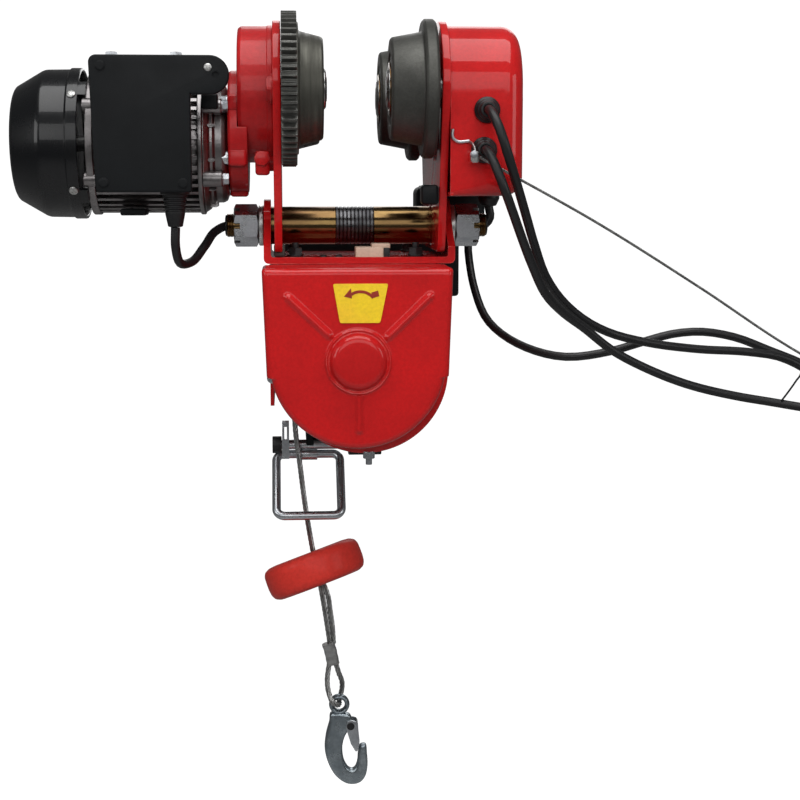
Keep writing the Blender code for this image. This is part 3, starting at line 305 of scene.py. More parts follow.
ROPE_STEEL = finish_of("rope_steel", "zinc", (0.58, 0.58, 0.57), 0.36, 1.0, grain=1500, bump=0.3, vary=0.5,
                       patch=160)
GOLD = finish_of(
    "yellow_zinc", "yellow_zinc", (0.26, 0.175, 0.065), 0.17, 1.0, (0.15, 0.08, 0.04), grain=500, bump=0.15,
    patch=30,
    stretch=(0.3, 1, 1),
)
ALLOY = finish_of(
    "cast_alloy", "aluminium", (0.34, 0.32, 0.32), 0.34, 1.0, grain=420, bump=0.5, depth=0.35, vary=0.3,
    wear=(0.85, 0.85, 0.84),
)
SLEEVE = finish_of("sleeve_alloy", "aluminium", (0.66, 0.66, 0.65), 0.36, 1.0, grain=700, bump=0.3, vary=0.25,
                   patch=90)
PLASTIC = finish_of(
    "black_plastic", "black_plastic", (0.008, 0.009, 0.010), 0.44, grain=1100, bump=0.35, depth=0.12,
    vary=0.3, specular=0.18,
)
GLOSS = finish_of(
    "glossy_black", "black_plastic", (0.003, 0.0035, 0.0045), 0.26, coat=0.5, specular=0.3, grain=700,
    bump=0.12, vary=0.3,
    rough_vary=0.08,
)
RUBBER = finish_of("rubber", "rubber", (0.010, 0.010, 0.011), 0.40, grain=1300, bump=0.25, depth=0.1,
                   vary=0.3)
DARK = finish_of("blackened_steel", "steel", (0.05, 0.05, 0.052), 0.42, 0.8, grain=600, bump=0.25, vary=0.4)
CREAM = finish_of("cream_nylon", "black_plastic", (0.62, 0.45, 0.34), 0.45, grain=500, bump=0.25, vary=0.2)
YELLOW = finish_of(
    "yellow_label", "stop_red", (0.88, 0.62, 0.02), 0.36, grain=500, bump=0.1, vary=0.1,
    second=(0.86, 0.52, 0.02),
)
LABEL_RED = finish_of("label_ink", "stop_red", (0.32, 0.03, 0.015), 0.4, grain=500, bump=0.1, vary=0.3)
STOP_RED = finish_of("stop_red", "stop_red", (0.62, 0.012, 0.012), 0.3, coat=0.3, grain=700, bump=0.15,
                     vary=0.15)
WHITE = finish_of("screw_zinc", "zinc", (0.80, 0.80, 0.78), 0.34, 1.0, grain=600, bump=0.2, vary=0.2,
                  patch=120)


# ---------------------------------------------------------------- shapes


def frame_of(axis, at):
    """World matrix, in millimetres, whose Z lies along the axis."""
    if isinstance(axis, str):
        u, v, w = (Vector(a) for a in AXES[axis])
    else:
        w = Vector(axis).normalized()
        u = Vector((0, 1, 0)).cross(w) if abs(w.y) < 0.9 else Vector((1, 0, 0))
        u.normalize()
        v = w.cross(u)
    return Matrix.Translation(Vector(at)) @ Matrix((u, v, w)).transposed().to_4x4()


def placed(name, data, body, nodes):
    made = bpy.data.objects.new(name, data)
    bpy.context.scene.collection.objects.link(made)
    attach(made, body)
    if nodes:
        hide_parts(*nodes)
    return made


def piece(name, mesh, finish, body, nodes=(), sharp=32):
    mesh.name = name
    mesh.materials.clear()
    mesh.materials.append(finish[0])
    mesh.polygons.foreach_set("use_smooth", [True] * len(mesh.polygons))
    mesh.set_sharp_from_angle(angle=radians(sharp))
    return placed(name, mesh, body, nodes)


def cube_mesh(size, matrix, ease=0.0):
    """A box of the given size, turned and moved by the matrix."""
    work = bmesh.new()
    bmesh.ops.create_cube(work, size=1.0)
    bmesh.ops.scale(work, vec=size, verts=work.verts)
    if ease:
        bmesh.ops.bevel(work, geom=list(work.edges), offset=ease, segments=2, affect="EDGES")
    return mesh_of(work, matrix)


def mesh_of(work, matrix=None):
    """A finished mesh in metres from millimetre mesh data, its faces turned outwards."""
    if matrix is not None:
        bmesh.ops.transform(work, matrix=matrix, verts=work.verts)
    bmesh.ops.scale(work, vec=(MM, MM, MM), verts=work.verts)
    bmesh.ops.recalc_face_normals(work, faces=work.faces)
    mesh = bpy.data.meshes.new("mesh")
    work.to_mesh(mesh)
    work.free()
    return mesh


def eased(points, amount, closed, steps=4):
    """The outline with each corner rounded by up to the amount."""
    out = []
    count = len(points)
    for k, corner in enumerate(points):
        if not closed and k in (0, count - 1):
            out.append(corner)
            continue
        here = Vector(corner)
        before, after = Vector(points[k - 1]) - here, Vector(points[(k + 1) % count]) - here
        room = min(before.length, after.length)
        if room < 1e-6 or before.length < 1e-6 or after.length < 1e-6:
            out.append(corner)
            continue
        cut = min(amount, 0.45 * room)
        one, two = here + before.normalized() * cut, here + after.normalized() * cut
        if before.normalized().dot(after.normalized()) < -0.97:
            out.append(corner)
            continue
        for j in range(steps + 1):
            t = j / steps
            out.append(tuple(one * (1 - t) ** 2 + here * 2 * t * (1 - t) + two * t**2))
    return out


def lathe_mesh(profile, at=(0, 0, 0), axis="X", steps=96, ease=0.6):
    solid = profile[0][0] == 0 and profile[-1][0] == 0
    points = eased(profile, ease, not solid) if ease else profile
    work = bmesh.new()
    rings = []
    for radius, height in points:
        if radius < 1e-6:
            rings.append([work.verts.new((0, 0, height))])
        else:
            turn = [2 * pi * k / steps for k in range(steps)]
            rings.append([work.verts.new((radius * cos(a), radius * sin(a), height)) for a in turn])
    pairs = list(zip(rings, rings[1:]))
    if not solid:
        pairs.append((rings[-1], rings[0]))
    for one, two in pairs:
        for k in range(steps):
            n = (k + 1) % steps
            if len(one) == 1 and len(two) == 1:
                continue
            if len(one) == 1:
                work.faces.new((one[0], two[k], two[n]))
            elif len(two) == 1:
                work.faces.new((one[k], one[n], two[0]))
            else:
                work.faces.new((one[k], one[n], two[n], two[k]))
    return mesh_of(work, frame_of(axis, at))


def lathe(name, profile, finish, body, *nodes, at=(0, 0, 0), axis="X", steps=96, ease=0.6, sharp=32):
    return piece(name, lathe_mesh(profile, at, axis, steps, ease), finish, body, nodes, sharp)


def circle(radius, sides=64, centre=(0, 0), start=0.0):
    return [
        (centre[0] + radius * cos(start + 2 * pi * k / sides),
         centre[1] + radius * sin(start + 2 * pi * k / sides))
        for k in range(sides)
    ]


def arc(centre, radius, start, end, steps):
    turn = [radians(start + (end - start) * k / steps) for k in range(steps + 1)]
    return [(centre[0] + radius * cos(a), centre[1] + radius * sin(a)) for a in turn]


def cleaned(loop):
    """The outline without repeated points."""
    out = []
    for point in loop:
        if not out or hypot(point[0] - out[-1][0], point[1] - out[-1][1]) > 1e-3:
            out.append(tuple(point))
    if hypot(out[0][0] - out[-1][0], out[0][1] - out[-1][1]) <= 1e-3:
        out.pop()
    return out


def area_of(loop):
    return sum(a[0] * b[1] - b[0] * a[1] for a, b in zip(loop, loop[1:] + loop[:1])) / 2


def offset_loop(loop, amount):
    """The outline with each corner moved to its left by the amount."""
    points = np.array(loop, float)
    ahead = np.roll(points, -1, 0) - points
    ahead /= np.linalg.norm(ahead, axis=1)[:, None]
    left = np.stack([-ahead[:, 1], ahead[:, 0]], axis=1)
    both = left + np.roll(left, 1, 0)
    size = np.linalg.norm(both, axis=1)
    both = np.where(size[:, None] > 1e-6, both / np.maximum(size, 1e-6)[:, None], left)
    stretch = 1 / np.maximum(np.sum(both * left, axis=1), 0.5)
    return points + both * (stretch * amount)[:, None]


def slab_mesh(loops, low, high, axis="X", at=(0, 0, 0), edge=0.5, soft=2):
    """A flat outline with holes and eased edges, read as (Y, Z), (X, Z) or (X, Y) for axis X, Y or Z."""
    loops = sorted((cleaned(loop) for loop in loops), key=lambda loop: -abs(area_of(loop)))
    loops = [loop if (area_of(loop) > 0) == (k == 0) else loop[::-1] for k, loop in enumerate(loops)]
    half = abs(high - low) / 2
    turns = [pi / 2 * k / (soft + 1) for k in range(soft + 2)] if edge else [0.0]
    steps = [(edge * (1 - cos(a)), half - edge + edge * sin(a)) for a in turns]
    steps = [(amount, -height) for amount, height in reversed(steps)] + steps
    work = bmesh.new()
    ends = ([], [])
    for loop in loops:
        rings = []
        for amount, height in steps:
            rings.append([work.verts.new((x, y, height)) for x, y in offset_loop(loop, amount)])
        for one, two in zip(rings, rings[1:]):
            for k in range(len(one)):
                work.faces.new((one[k - 1], one[k], two[k], two[k - 1]))
        ends[0].append(rings[0])
        ends[1].append(rings[-1])
    for rings in ends:
        flat = [v for ring in rings for v in ring]
        for triangle in tessellate_polygon([[v.co for v in ring] for ring in rings]):
            work.faces.new([flat[k] for k in triangle])
    middle = (low + high) / 2
    if axis == "Y":
        turn = Matrix(((1, 0, 0), (0, 0, -1), (0, 1, 0))).to_4x4()
        matrix = Matrix.Translation(Vector(at) + Vector((0, middle, 0))) @ turn
    else:
        matrix = frame_of(axis, at) @ Matrix.Translation((0, 0, middle))
    return mesh_of(work, matrix)


def slab(name, loops, low, high, finish, body, *nodes, axis="X", at=(0, 0, 0), edge=0.5, soft=2, sharp=32):
    return piece(name, slab_mesh(loops, low, high, axis, at, edge, soft), finish, body, nodes, sharp)


def block_mesh(low, high, edge=1.0, segments=3):
    work = bmesh.new()
    bmesh.ops.create_cube(work, size=1.0)
    bmesh.ops.scale(work, vec=[b - a for a, b in zip(low, high)], verts=work.verts)
    if edge:
        bmesh.ops.bevel(
            work, geom=list(work.edges), offset=edge, segments=segments, profile=0.5, affect="EDGES",
            clamp_overlap=True,
        )
    return mesh_of(work, Matrix.Translation([(a + b) / 2 for a, b in zip(low, high)]))


def block(name, low, high, finish, body, *nodes, edge=1.0, segments=3):
    return piece(name, block_mesh(low, high, edge, segments), finish, body, nodes)


def smooth_route(route, spacing):
    """Evenly spaced points on a smooth curve through the route's points."""
    points = np.array(route, float)
    chord = np.concatenate([[0], np.cumsum(np.linalg.norm(np.diff(points, axis=0), axis=1))])
    slope = np.gradient(points, chord, axis=0)
    fine = []
    for k in range(len(points) - 1):
        span = chord[k + 1] - chord[k]
        t = np.linspace(0, 1, 24, endpoint=k == len(points) - 2)[:, None]
        fine.append(
            (2 * t**3 - 3 * t**2 + 1) * points[k] + (t**3 - 2 * t**2 + t) * span * slope[k]
            + (3 * t**2 - 2 * t**3) * points[k + 1] + (t**3 - t**2) * span * slope[k + 1]
        )
    fine = np.concatenate(fine)
    along = np.concatenate([[0], np.cumsum(np.linalg.norm(np.diff(fine, axis=0), axis=1))])
    at = np.linspace(0, along[-1], int(round(along[-1] / spacing)) + 1)
    return np.stack([np.interp(at, along, fine[:, k]) for k in range(3)], axis=1)


def swept_mesh(points, radius, sides=20, twist=0.0, closed=False, flat=1.0):
    """A bar along the points; its radius is a number, or a function of angle and share of the length."""
    points = np.array(points, float)
    count = len(points)
    if closed:
        tangent = np.roll(points, -1, 0) - np.roll(points, 1, 0)
    else:
        tangent = np.gradient(points, axis=0)
    tangent /= np.linalg.norm(tangent, axis=1)[:, None]
    side = np.cross(tangent[0], (0.0, 0.0, 1.0) if abs(tangent[0][2]) < 0.9 else (0.0, 1.0, 0.0))
    side /= np.linalg.norm(side)
    step = np.concatenate([[0], np.cumsum(np.linalg.norm(np.diff(points, axis=0), axis=1))])
    work = bmesh.new()
    rings = []
    for k in range(count):
        side = side - tangent[k] * np.dot(side, tangent[k])
        side /= np.linalg.norm(side)
        up = np.cross(tangent[k], side)
        ring = []
        for j in range(sides):
            angle = 2 * pi * j / sides
            reach = radius(angle, step[k] / step[-1]) if callable(radius) else radius
            spin = angle + twist * step[k]
            ring.append(work.verts.new(points[k] + reach * (cos(spin) * side + flat * sin(spin) * up)))
        rings.append(ring)
    pairs = list(zip(rings, rings[1:]))
    if closed:
        pairs.append((rings[-1], rings[0]))
    for one, two in pairs:
        for j in range(sides):
            work.faces.new((one[j - 1], one[j], two[j], two[j - 1]))
    if not closed:
        work.faces.new(rings[0])
        work.faces.new(rings[-1][::-1])
    return mesh_of(work)


def swept(name, points, radius, finish, body, *nodes, sides=20, twist=0.0, closed=False, flat=1.0, sharp=60):
    return piece(name, swept_mesh(points, radius, sides, twist, closed, flat), finish, body, nodes, sharp)


def strands(outer, count=6):
    """Section of a laid wire rope: the outline of its strands lying in a ring."""
    small = outer / (1 + 1 / sin(pi / count)) * 1.02
    centre = outer - small

    def reach(angle, _along):
        off = (angle + pi / count) % (2 * pi / count) - pi / count
        return centre * cos(off) + (max(0.0, small**2 - (centre * sin(off)) ** 2)) ** 0.5

    return reach


ROPE_LAY = 2 * pi / 26.0


def rope(name, points, body, *nodes, outer=ROPE_R, sides=36):
    return swept(name, points, strands(outer), ROPE_STEEL, body, *nodes, sides=sides, twist=ROPE_LAY,
                 sharp=80)


def changed(target, tools, operation="DIFFERENCE"):
    """The piece with the tool meshes cut away or joined on."""
    for mesh in tools:
        tool = bpy.data.objects.new("tool", mesh)
        bpy.context.scene.collection.objects.link(tool)
        change = target.modifiers.new("change", "BOOLEAN")
        change.operation = operation
        change.object = tool
        change.solver = "EXACT"
        bpy.context.view_layer.update()
        graph = bpy.context.evaluated_depsgraph_get()
        result = bpy.data.meshes.new_from_object(target.evaluated_get(graph))
        target.modifiers.clear()
        bpy.data.objects.remove(tool, do_unlink=True)
        material = target.data.materials[0]
        target.data = result
        result.name = target.name
        result.materials.clear()
        result.materials.append(material)
    target.data.polygons.foreach_set("use_smooth", [True] * len(target.data.polygons))
    target.data.set_sharp_from_angle(angle=radians(32))
    return target


def hex_mesh(across, low, high, at, axis, bore=0.0, start=0.0, both=False):
    """A hexagon nut or bolt head between two heights, chamfered on the high end or on both."""
    sides = 60
    flat, slope = across / 2, 0.5
    land = flat * 0.94
    work = bmesh.new()
    sign = 1 if high > low else -1

    def outline(angle):
        off = (angle - start + pi / 6) % (pi / 3) - pi / 6
        return flat / cos(off)

    rings = []
    turn = [2 * pi * k / sides for k in range(sides)]

    def ring(radius_of, height_of):
        rings.append([
            work.verts.new((radius_of(a) * cos(a), radius_of(a) * sin(a),
                            height_of(radius_of(a)))) for a in turn
        ])

    if bore:
        ring(lambda a: bore, lambda r: low)
    if both:
        ring(lambda a: land, lambda r: low)
        ring(outline, lambda r: low + sign * slope * (r - land))
    else:
        ring(outline, lambda r: low)
    ring(outline, lambda r: high - sign * slope * (r - land))
    ring(lambda a: land, lambda r: high)
    if bore:
        ring(lambda a: bore, lambda r: high)
    for one, two in zip(rings, rings[1:]):
        for k in range(sides):
            work.faces.new((one[k - 1], one[k], two[k], two[k - 1]))
    if bore:
        for k in range(sides):
            work.faces.new((rings[-1][k - 1], rings[-1][k], rings[0][k], rings[0][k - 1]))
    else:
        work.faces.new(rings[0])
        work.faces.new(rings[-1])
    return mesh_of(work, frame_of(axis, at))


def merged(meshes):
    work = bmesh.new()
    for mesh in meshes:
        work.from_mesh(mesh)
        bpy.data.meshes.remove(mesh)
    out = bpy.data.meshes.new("merged")
    work.to_mesh(out)
    work.free()
    return out


def bolt(name, at, axis, across, head, finish=ZINC, body="frame", washer=1.5, stud=0.0, start=0.0):
    """A hexagon head on a washer, its face looking along the axis."""
    parts = [
        lathe_mesh([(0, 0), (across * 0.62, 0), (across * 0.62, washer), (0, washer)], at, axis, 40, 0.3),
        hex_mesh(across, washer, washer + head, at, axis, start=start),
    ]
    if stud:
        top = washer + head
        parts.append(lathe_mesh([(0, top - 1), (across * 0.28, top - 1), (across * 0.28, top + stud),
                                 (0, top + stud)],
                                at, axis, 32, 0.5))
    return piece(name, merged(parts), finish, body)


def screw(name, at, axis, radius, high, finish=WHITE, body="frame", turn=0.4):
    """A round-headed screw with a cross recess."""
    profile = [(0, -1.0), (radius, -1.0), (radius, high * 0.25)]
    profile += [(radius * cos(radians(a)), high * (0.25 + 0.75 * sin(radians(a)))) for a in (25, 50, 72)]
    profile.append((0, high))
    made = lathe(name, profile, finish, body, at=at, axis=axis, steps=40, ease=0.0)
    matrix = frame_of(axis, at)
    tools = []
    for k in range(2):
        spun = matrix @ Matrix.Rotation(turn + k * pi / 2, 4, "Z") @ Matrix.Translation((0, 0, high))
        tools.append(cube_mesh((radius * 1.15, radius * 0.24, high * 0.9), spun))
    return changed(made, tools)


def gear_loop(teeth, module, tooth_at):
    """Involute teeth with backlash, one tooth centred on the angle tooth_at."""
    pitch_r = teeth * module / 2
    base_r = pitch_r * cos(radians(20))
    tip_r, root_r = pitch_r + 0.85 * module, pitch_r - 1.15 * module

    def half_angle(radius):
        alpha = acos(min(1.0, base_r / radius))
        backlash = 0.07 * module / pitch_r
        return pi / (2 * teeth) - backlash + (tan(radians(20)) - radians(20)) - (tan(alpha) - alpha)

    flank = [(r, half_angle(max(r, base_r))) for r in np.linspace(root_r, tip_r, 5)]
    loop = []
    for k in range(teeth):
        middle = tooth_at + 2 * pi * k / teeth
        loop += [(r * cos(middle - a), r * sin(middle - a)) for r, a in flank]
        loop += [(r * cos(middle + a), r * sin(middle + a)) for r, a in reversed(flank)]
    return loop


def fin_loop(tip, root, count, share=0.42):
    """A ring of straight cooling fins, seen along the motor."""
    loop = []
    for k in range(count):
        for part, radius in ((0.0, root), (0.5 - share / 2, root), (0.5 - share / 2 + 0.04, tip),
                             (0.5 + share / 2 - 0.04, tip), (0.5 + share / 2, root)):
            angle = 2 * pi * (k + part) / count
            loop.append((radius * cos(angle), radius * sin(angle)))
    return loop


def vents(shroud, rings, low, high, axis, at):
    """Cuts rings of air slots through the end of a fan shroud."""
    tools = []
    for inner, outer, count in rings:
        for k in range(count):
            a0, a1 = 360 / count * (k + 0.14), 360 / count * (k + 0.86)
            loop = arc((0, 0), outer, a0, a1, 6) + arc((0, 0), inner, a1, a0, 6)
            tools.append(slab_mesh([loop], low, high, axis, at, 0.0, 1))
    changed(shroud, [merged(tools)])


def around(angles, radius, across=0.0, up=0.0):
    """Numbered places on a circle, one for each angle."""
    return [(k, across + radius * cos(radians(a)), up + radius * sin(radians(a))) for k,
            a in enumerate(angles)]


# ---------------------------------------------------------------- ropes and cables


def cord_curve(name, points, radius, finish, body, *nodes):
    curve = bpy.data.curves.new(name, "CURVE")
    curve.dimensions = "3D"
    curve.bevel_depth = radius * MM
    curve.bevel_resolution = 6
    curve.use_fill_caps = True
    spline = curve.splines.new("POLY")
    spline.points.add(len(points) - 1)
    for point, place in zip(spline.points, points):
        point.co = (*(c * MM for c in place), 1)
    spline.use_smooth = True
    curve.materials.append(finish[0])
    return placed(name, curve, body, nodes)


def coil_points(inner, outer, turns, first, last, per_turn=30):
    """Turns side by side in an inner and then an outer layer, each turn a cable's width from the next."""
    pitch = 2 * CABLE_R
    out = []
    count = int((last - first) / 360 * per_turn)
    for k in range(count + 1):
        angle = first + (last - first) * k / count
        lap, share = divmod(angle, 360)
        jog = min(1.0, max(0.0, (share - 300) / 60))
        jog = jog * jog * (3 - 2 * jog)
        lap = int(lap)
        if lap < turns - 1:
            across, radius = -pitch + pitch * (lap + jog), inner
        elif lap == turns - 1:
            across, radius = pitch, inner + (outer - inner) * jog
        else:
            across, radius = pitch - pitch * min(2.0,
                                                 lap - turns + (jog if lap < 2 * turns - 1 else 0)), outer
        a = radians(angle)
        out.append((COIL[0] + across, COIL[1] - radius * cos(a), COIL[2] - radius * sin(a)))
    return out


def cables():
    rope_line = smooth_route(ROPE_ROUTE, 0.8)
    hoist_rope = rope("hoist_rope_line", rope_line, "rope_fall", "hoist_rope")
    lead_line = smooth_route(HOIST_LEAD_ROUTE, 9.0)
    lead = cord_curve("hoist_lead_cable", lead_line, CABLE_R, RUBBER, "frame", "hoist_lead")
    coil = coil_points(38.5, 45.5, 3, 12, 6 * 360)
    drop = [(425.2, -63.6, -243), (426.4, -63.6, -253), (429.0, -63.5, -265), (431.2, -63.5, -277),
            (432, -63.5, -289)]
    pendant_line = list(smooth_route(PENDANT_ROUTE + coil[:2], 7.0))[:-1] + coil[1:] + list(
        smooth_route([coil[-1]] + drop, 7.0)
    )[1:]
    pendant = cord_curve("pendant_lead", pendant_line, CABLE_R, RUBBER, "frame", "pendant_cable",
                         "pendant_coil")
    wire_line = smooth_route(MESSENGER_ROUTE, 1.0)
    wire = swept("messenger_line", wire_line, strands(WIRE_R), ROPE_STEEL, "frame", "messenger_wire",
                 sides=24,
                 twist=2 * pi / 14, sharp=80)
    motor_line = smooth_route(MOTOR_CABLE_ROUTE, 3.0)
    swept("motor_lead", motor_line, CABLE_R, RUBBER, "frame", "motor_cable", sides=24)
    wire_hook = swept("wire_hook_rod", smooth_route(HOOK_ROUTE, 1.5), 2.5, ZINC, "frame", "wire_hook",
                      sides=24)

    tie = [
        (359.6, -17.8, -179.4), (361.8, -20.4, -180.6), (361.6, -21.6, -184.0), (356, -26.5, -190),
        (348, -32.5, -198),
        (341.5, -36.4, -204.5),
    ]
    tie_line = smooth_route(tie, 2.0)
    thread = swept("cable_tie_thread", tie_line, 0.8, PLASTIC, "frame", sides=12)
    for name, angle in (("upper", 70.0), ("lower", 250.0)):
        a = radians(angle)
        centre = Vector((COIL[0], COIL[1] - 42.0 * cos(a), COIL[2] - 42.0 * sin(a)))
        outward = Vector((0, -cos(a), -sin(a)))
        loop = [centre + Vector((11.8 * x, 0, 0)) + outward * (8.3 * y)
                for x, y in eased([(-1, -1), (1, -1), (1, 1), (-1, 1)], 0.45, True, 6)]
        swept(f"coil_tie_{name}", loop, 1.3, PLASTIC, "frame", sides=10, closed=True)
    return hoist_rope, rope_line


camera_and_room()
ROPE_PIECE, ROPE_LINE = cables()


# ---------------------------------------------------------------- trolley


def axle_spot(y):
    return (0, y, AXLE_Z)


def side_plates():
    top, flat, foot = 41.5, 48.0, 12.0
    outline = (
        arc((flat, top), 50.0, 0, 90, 24) + arc((-flat, top), 50.0, 90, 180, 24)
        + arc((-62 + foot, -83 + foot), foot, 200, 270, 10) + arc((62 - foot, -83 + foot), foot, 270, 340, 10)
    )
    shared = [outline, circle(15.3, 64, (0, SHAFT_Z)), circle(8.3, 48, (-AXLE_Y, AXLE_Z)),
              circle(8.3, 48, (AXLE_Y, AXLE_Z))]
    slab("left_plate", [*shared, circle(18.5, 64, (0, AXLE_Z))], -65.5, -59.5, RED, "frame",
         "left_side_plate", edge=0.8)
    slab("right_plate", shared, 59.5, 65.5, RED, "frame", "right_side_plate", edge=0.8)


def cross_shaft():
    centre = (0, 0, SHAFT_Z)
    stub = [(9.5, 74.2), (9.5, 98.2)]
    for k in range(4):
        x = 98.4 + 1.2 * k
        stub += [(8.9, x), (8.9, x + 0.3), (9.5, x + 0.7)]
    stub += [(8.6, 103.5), (6.5, 103.5)]
    end = [(15.0, 73.0), (14.2, 74.0)] + stub
    tube = [(r, -x) for r, x in reversed(end)] + [(15.0, -17.4), (13.4, -17.4), (13.4, 13.4),
                                                  (15.0, 13.4)] + end
    lathe("shaft_tube", tube, GOLD, "frame", "cross_shaft", at=centre, ease=0.1, sharp=20)
    thread = [(13.2, 13.3), (13.2, -17.3)]
    for k in range(10):
        x = -17.2 + 3.05 * k
        thread += [(14.6, x), (14.95, x + 0.4), (14.95, x + 2.2), (14.6, x + 2.5), (14.3, x + 2.7),
                   (14.3, x + 2.9)]
    lathe("shaft_thread", thread, GREY_ZINC, "frame", at=centre, ease=0.1, sharp=20)
    for side, sign in (("left", -1), ("right", 1)):
        nut = hex_mesh(29.4, sign * 78.4, sign * 98.0, centre, "X", 9.8, 0.0, True)
        washer = lathe_mesh(
            [(r, sign * x) for r, x in ((9.8, 74.3), (15.4, 74.3), (16.2, 75.0), (16.2, 77.6), (15.4, 78.3),
                                        (9.8, 78.3))],
            centre, "X", 72, 0.2,
        )
        made = piece(f"{side}_nut", nut, ZINC, "frame", (f"{side}_castle_nut",))
        piece(f"{side}_washer", washer, WHITE, "frame")
        tools = []
        for k in range(3):
            matrix = Matrix.Translation((sign * 98.0, 0, SHAFT_Z)) @ Matrix.Rotation(radians(30 + 60 * k), 4,
                                                                                     "X")
            tools.append(cube_mesh((10.0, 4.4, 44.0), matrix))
        changed(made, tools)
        bush = [(3.7, 99.0), (6.4, 99.0), (6.4, 103.6), (8.4, 103.6), (8.2, 104.6), (6.6, 105.0),
                (3.7, 105.0)]
        lathe(f"bush_{side}", [(r, sign * x) for r, x in bush], RUBBER, "frame", at=centre, steps=48,
              ease=0.3)


def wheels():
    for y, end in ((-AXLE_Y, "front"), (AXLE_Y, "rear")):
        at = axle_spot(y)
        left = f"{end}_left_wheel"
        slab(f"{left}_gear", [gear_loop(55, 2.0, pi), circle(41, 96)], -59.0, -47.5, IRON, left,
             f"wheel_left_{end}",
             at=at, edge=0.35, soft=1)
        tread = [
            (8.3, -28.0), (9.8, -28.0), (10.4, -27.4), (16.0, -27.4), (16.6, -28.0), (36.5, -28.0),
            (38.0, -29.4),
            (42.0, -45.2), (43.2, -46.3), (48.0, -46.3), (48.8, -47.0), (48.8, -49.3), (41.2, -49.3),
            (41.2, -57.2),
            (36.0, -57.2), (34.0, -55.0), (20.0, -55.0), (18.0, -58.0), (8.3, -58.0),
        ]
        lathe(f"{left}_tread", tread, TURNED, left, at=at, steps=128, ease=0.5)
        right = f"{end}_right_wheel"
        idler = [
            (8.3, 22.0), (20.6, 22.0), (21.2, 22.9), (26.4, 22.9), (27.0, 22.0), (36.6, 22.0), (38.0, 23.4),
            (42.0, 44.6),
            (42.6, 45.5), (49.6, 45.5), (51.5, 47.4), (51.5, 53.5), (49.8, 55.5), (24.0, 55.5), (22.0, 52.0),
            (14.0, 52.0), (12.0, 55.5), (8.3, 55.5),
        ]
        lathe(f"{right}_body", idler, IRON, right, f"wheel_right_{end}", at=at, steps=128, ease=0.5)
        for side, sign, face in (("left", -1, 28.0), ("right", 1, 22.0)):
            head = [(0, face - 2.8), (9.0, face - 2.8), (9.6, face - 2.2), (13.6, face - 2.2),
                    (15.0, face - 1.2), (15.0, face - 0.3), (8.0, face - 0.3)]
            lathe(f"axle_pin_{side}_{end}", [(r, sign * x) for r, x in head + [(8.0, 66.0), (0, 66.0)]],
                  STEEL,
                  "frame", f"axle_{side}_{end}", at=at, steps=80, ease=0.3)
            outer = 1 if side == "right" else -1
            bolt(f"axle_nut_{side}_{end}", (outer * 65.7, y, AXLE_Z), (outer, 0, 0), 18.0,
                 3.4 if side == "left" else 5.2,
                 RED_CAST if side == "left" else ZINC, washer=1.3, start=0.3 * y)
        lathe(f"hub_ring_{end}", [(15.6, 21.2), (19.6, 21.2), (19.6, 22.4), (15.6, 22.4)], GOLD, right, at=at,
              steps=80,
              ease=0.3)


def drive():
    at = axle_spot(0)
    pinion = slab("pinion", [gear_loop(15, 2.0, pi)], -58.5, -48.0, STEEL, "drive_spindle", "drive_pinion",
                  at=at,
                  edge=0.3)
    changed(pinion, [lathe_mesh([(0, -57), (6, -57), (6, -88.5), (0, -88.5)], at, "X", 48)], "UNION")
    slab("reduction_gear", [gear_loop(48, 1.25, 1.5 * pi + pi / 48), circle(6.3, 40)], -84.0, -76.0, STEEL,
         "drive_spindle", "drive_gear", at=at, edge=0.25)


def gearbox():
    centre = (0, 0, 38.5)
    cup = [
        (0, -89.5), (50.5, -89.5), (50.5, -65.8), (53.2, -65.8), (53.6, -66.4), (53.6, -69.6), (53.0, -70.4),
        (52.9, -90.0),
        (51.2, -92.6), (49.0, -93.0), (0, -93.0),
    ]
    housing = lathe("gearbox_cup", cup, RED_CAST, "frame", "gearbox_housing", at=centre, steps=128, ease=0.7)
    changed(housing, [lathe_mesh([(0, -95), (9.5, -95), (9.5, -87), (0, -87)], (0, 0, MOTOR_Z), "X", 40)])
    for k, y, z in around((30, -20, 250, 300), 57.0, 0, centre[2]):
        lathe(f"gearbox_lug_{k}", [(0, -65.8), (6.2, -65.8), (6.2, -74.6), (5.2, -75.4), (0, -75.4)],
              RED_CAST, "frame",
              at=(0, y, z), steps=40, ease=0.5)
        bolt(f"gearbox_bolt_{k}", (-75.3, y, z), (-1, 0, 0), 8.0, 4.0, RED_CAST, washer=0.9, start=0.5 * k)
    flange_at = (0, 0, 9.7)
    seat = [(8.5, -100.5), (45.8, -100.5), (47.5, -98.8), (47.5, -85.5), (8.5, -85.5)]
    flange = lathe("gearbox_motor_flange", seat, RED_CAST, "frame", "gearbox_flange", at=flange_at, steps=112,
                   ease=0.6)
    changed(flange, [
        lathe_mesh([(0, -93.3), (54.3, -93.3), (54.3, -60), (0, -60)], centre, "X", 96),
        lathe_mesh([(0, -103), (8.5, -103), (8.5, -83), (0, -83)], (0, 0, MOTOR_Z), "X", 40),
    ])
    for k, y, z in around((208, 152, 28, -28, 270), 44.5, 0, flange_at[2]):
        block(f"flange_lug_{k}", (-100.4, y - 6.5, z - 6.5), (-86.0, y + 6.5, z + 6.5), RED_CAST, "frame",
              edge=2.4)
        bolt(f"flange_bolt_{k}", (-100.3, y, z), (-1, 0, 0), 9.0, 4.5, ZINC, washer=1.0, start=0.4 * k)
    block("front_lug", (-79.6, -52.0, -24.5), (-68.5, -40.5, -6.0), RED_CAST, "frame", edge=2.6)
    bolt("front_lug_bolt", (-74.3, -51.8, -12.0), (0, -1, 0), 9.5, 3.6, RED_CAST, washer=0.9, start=0.3)


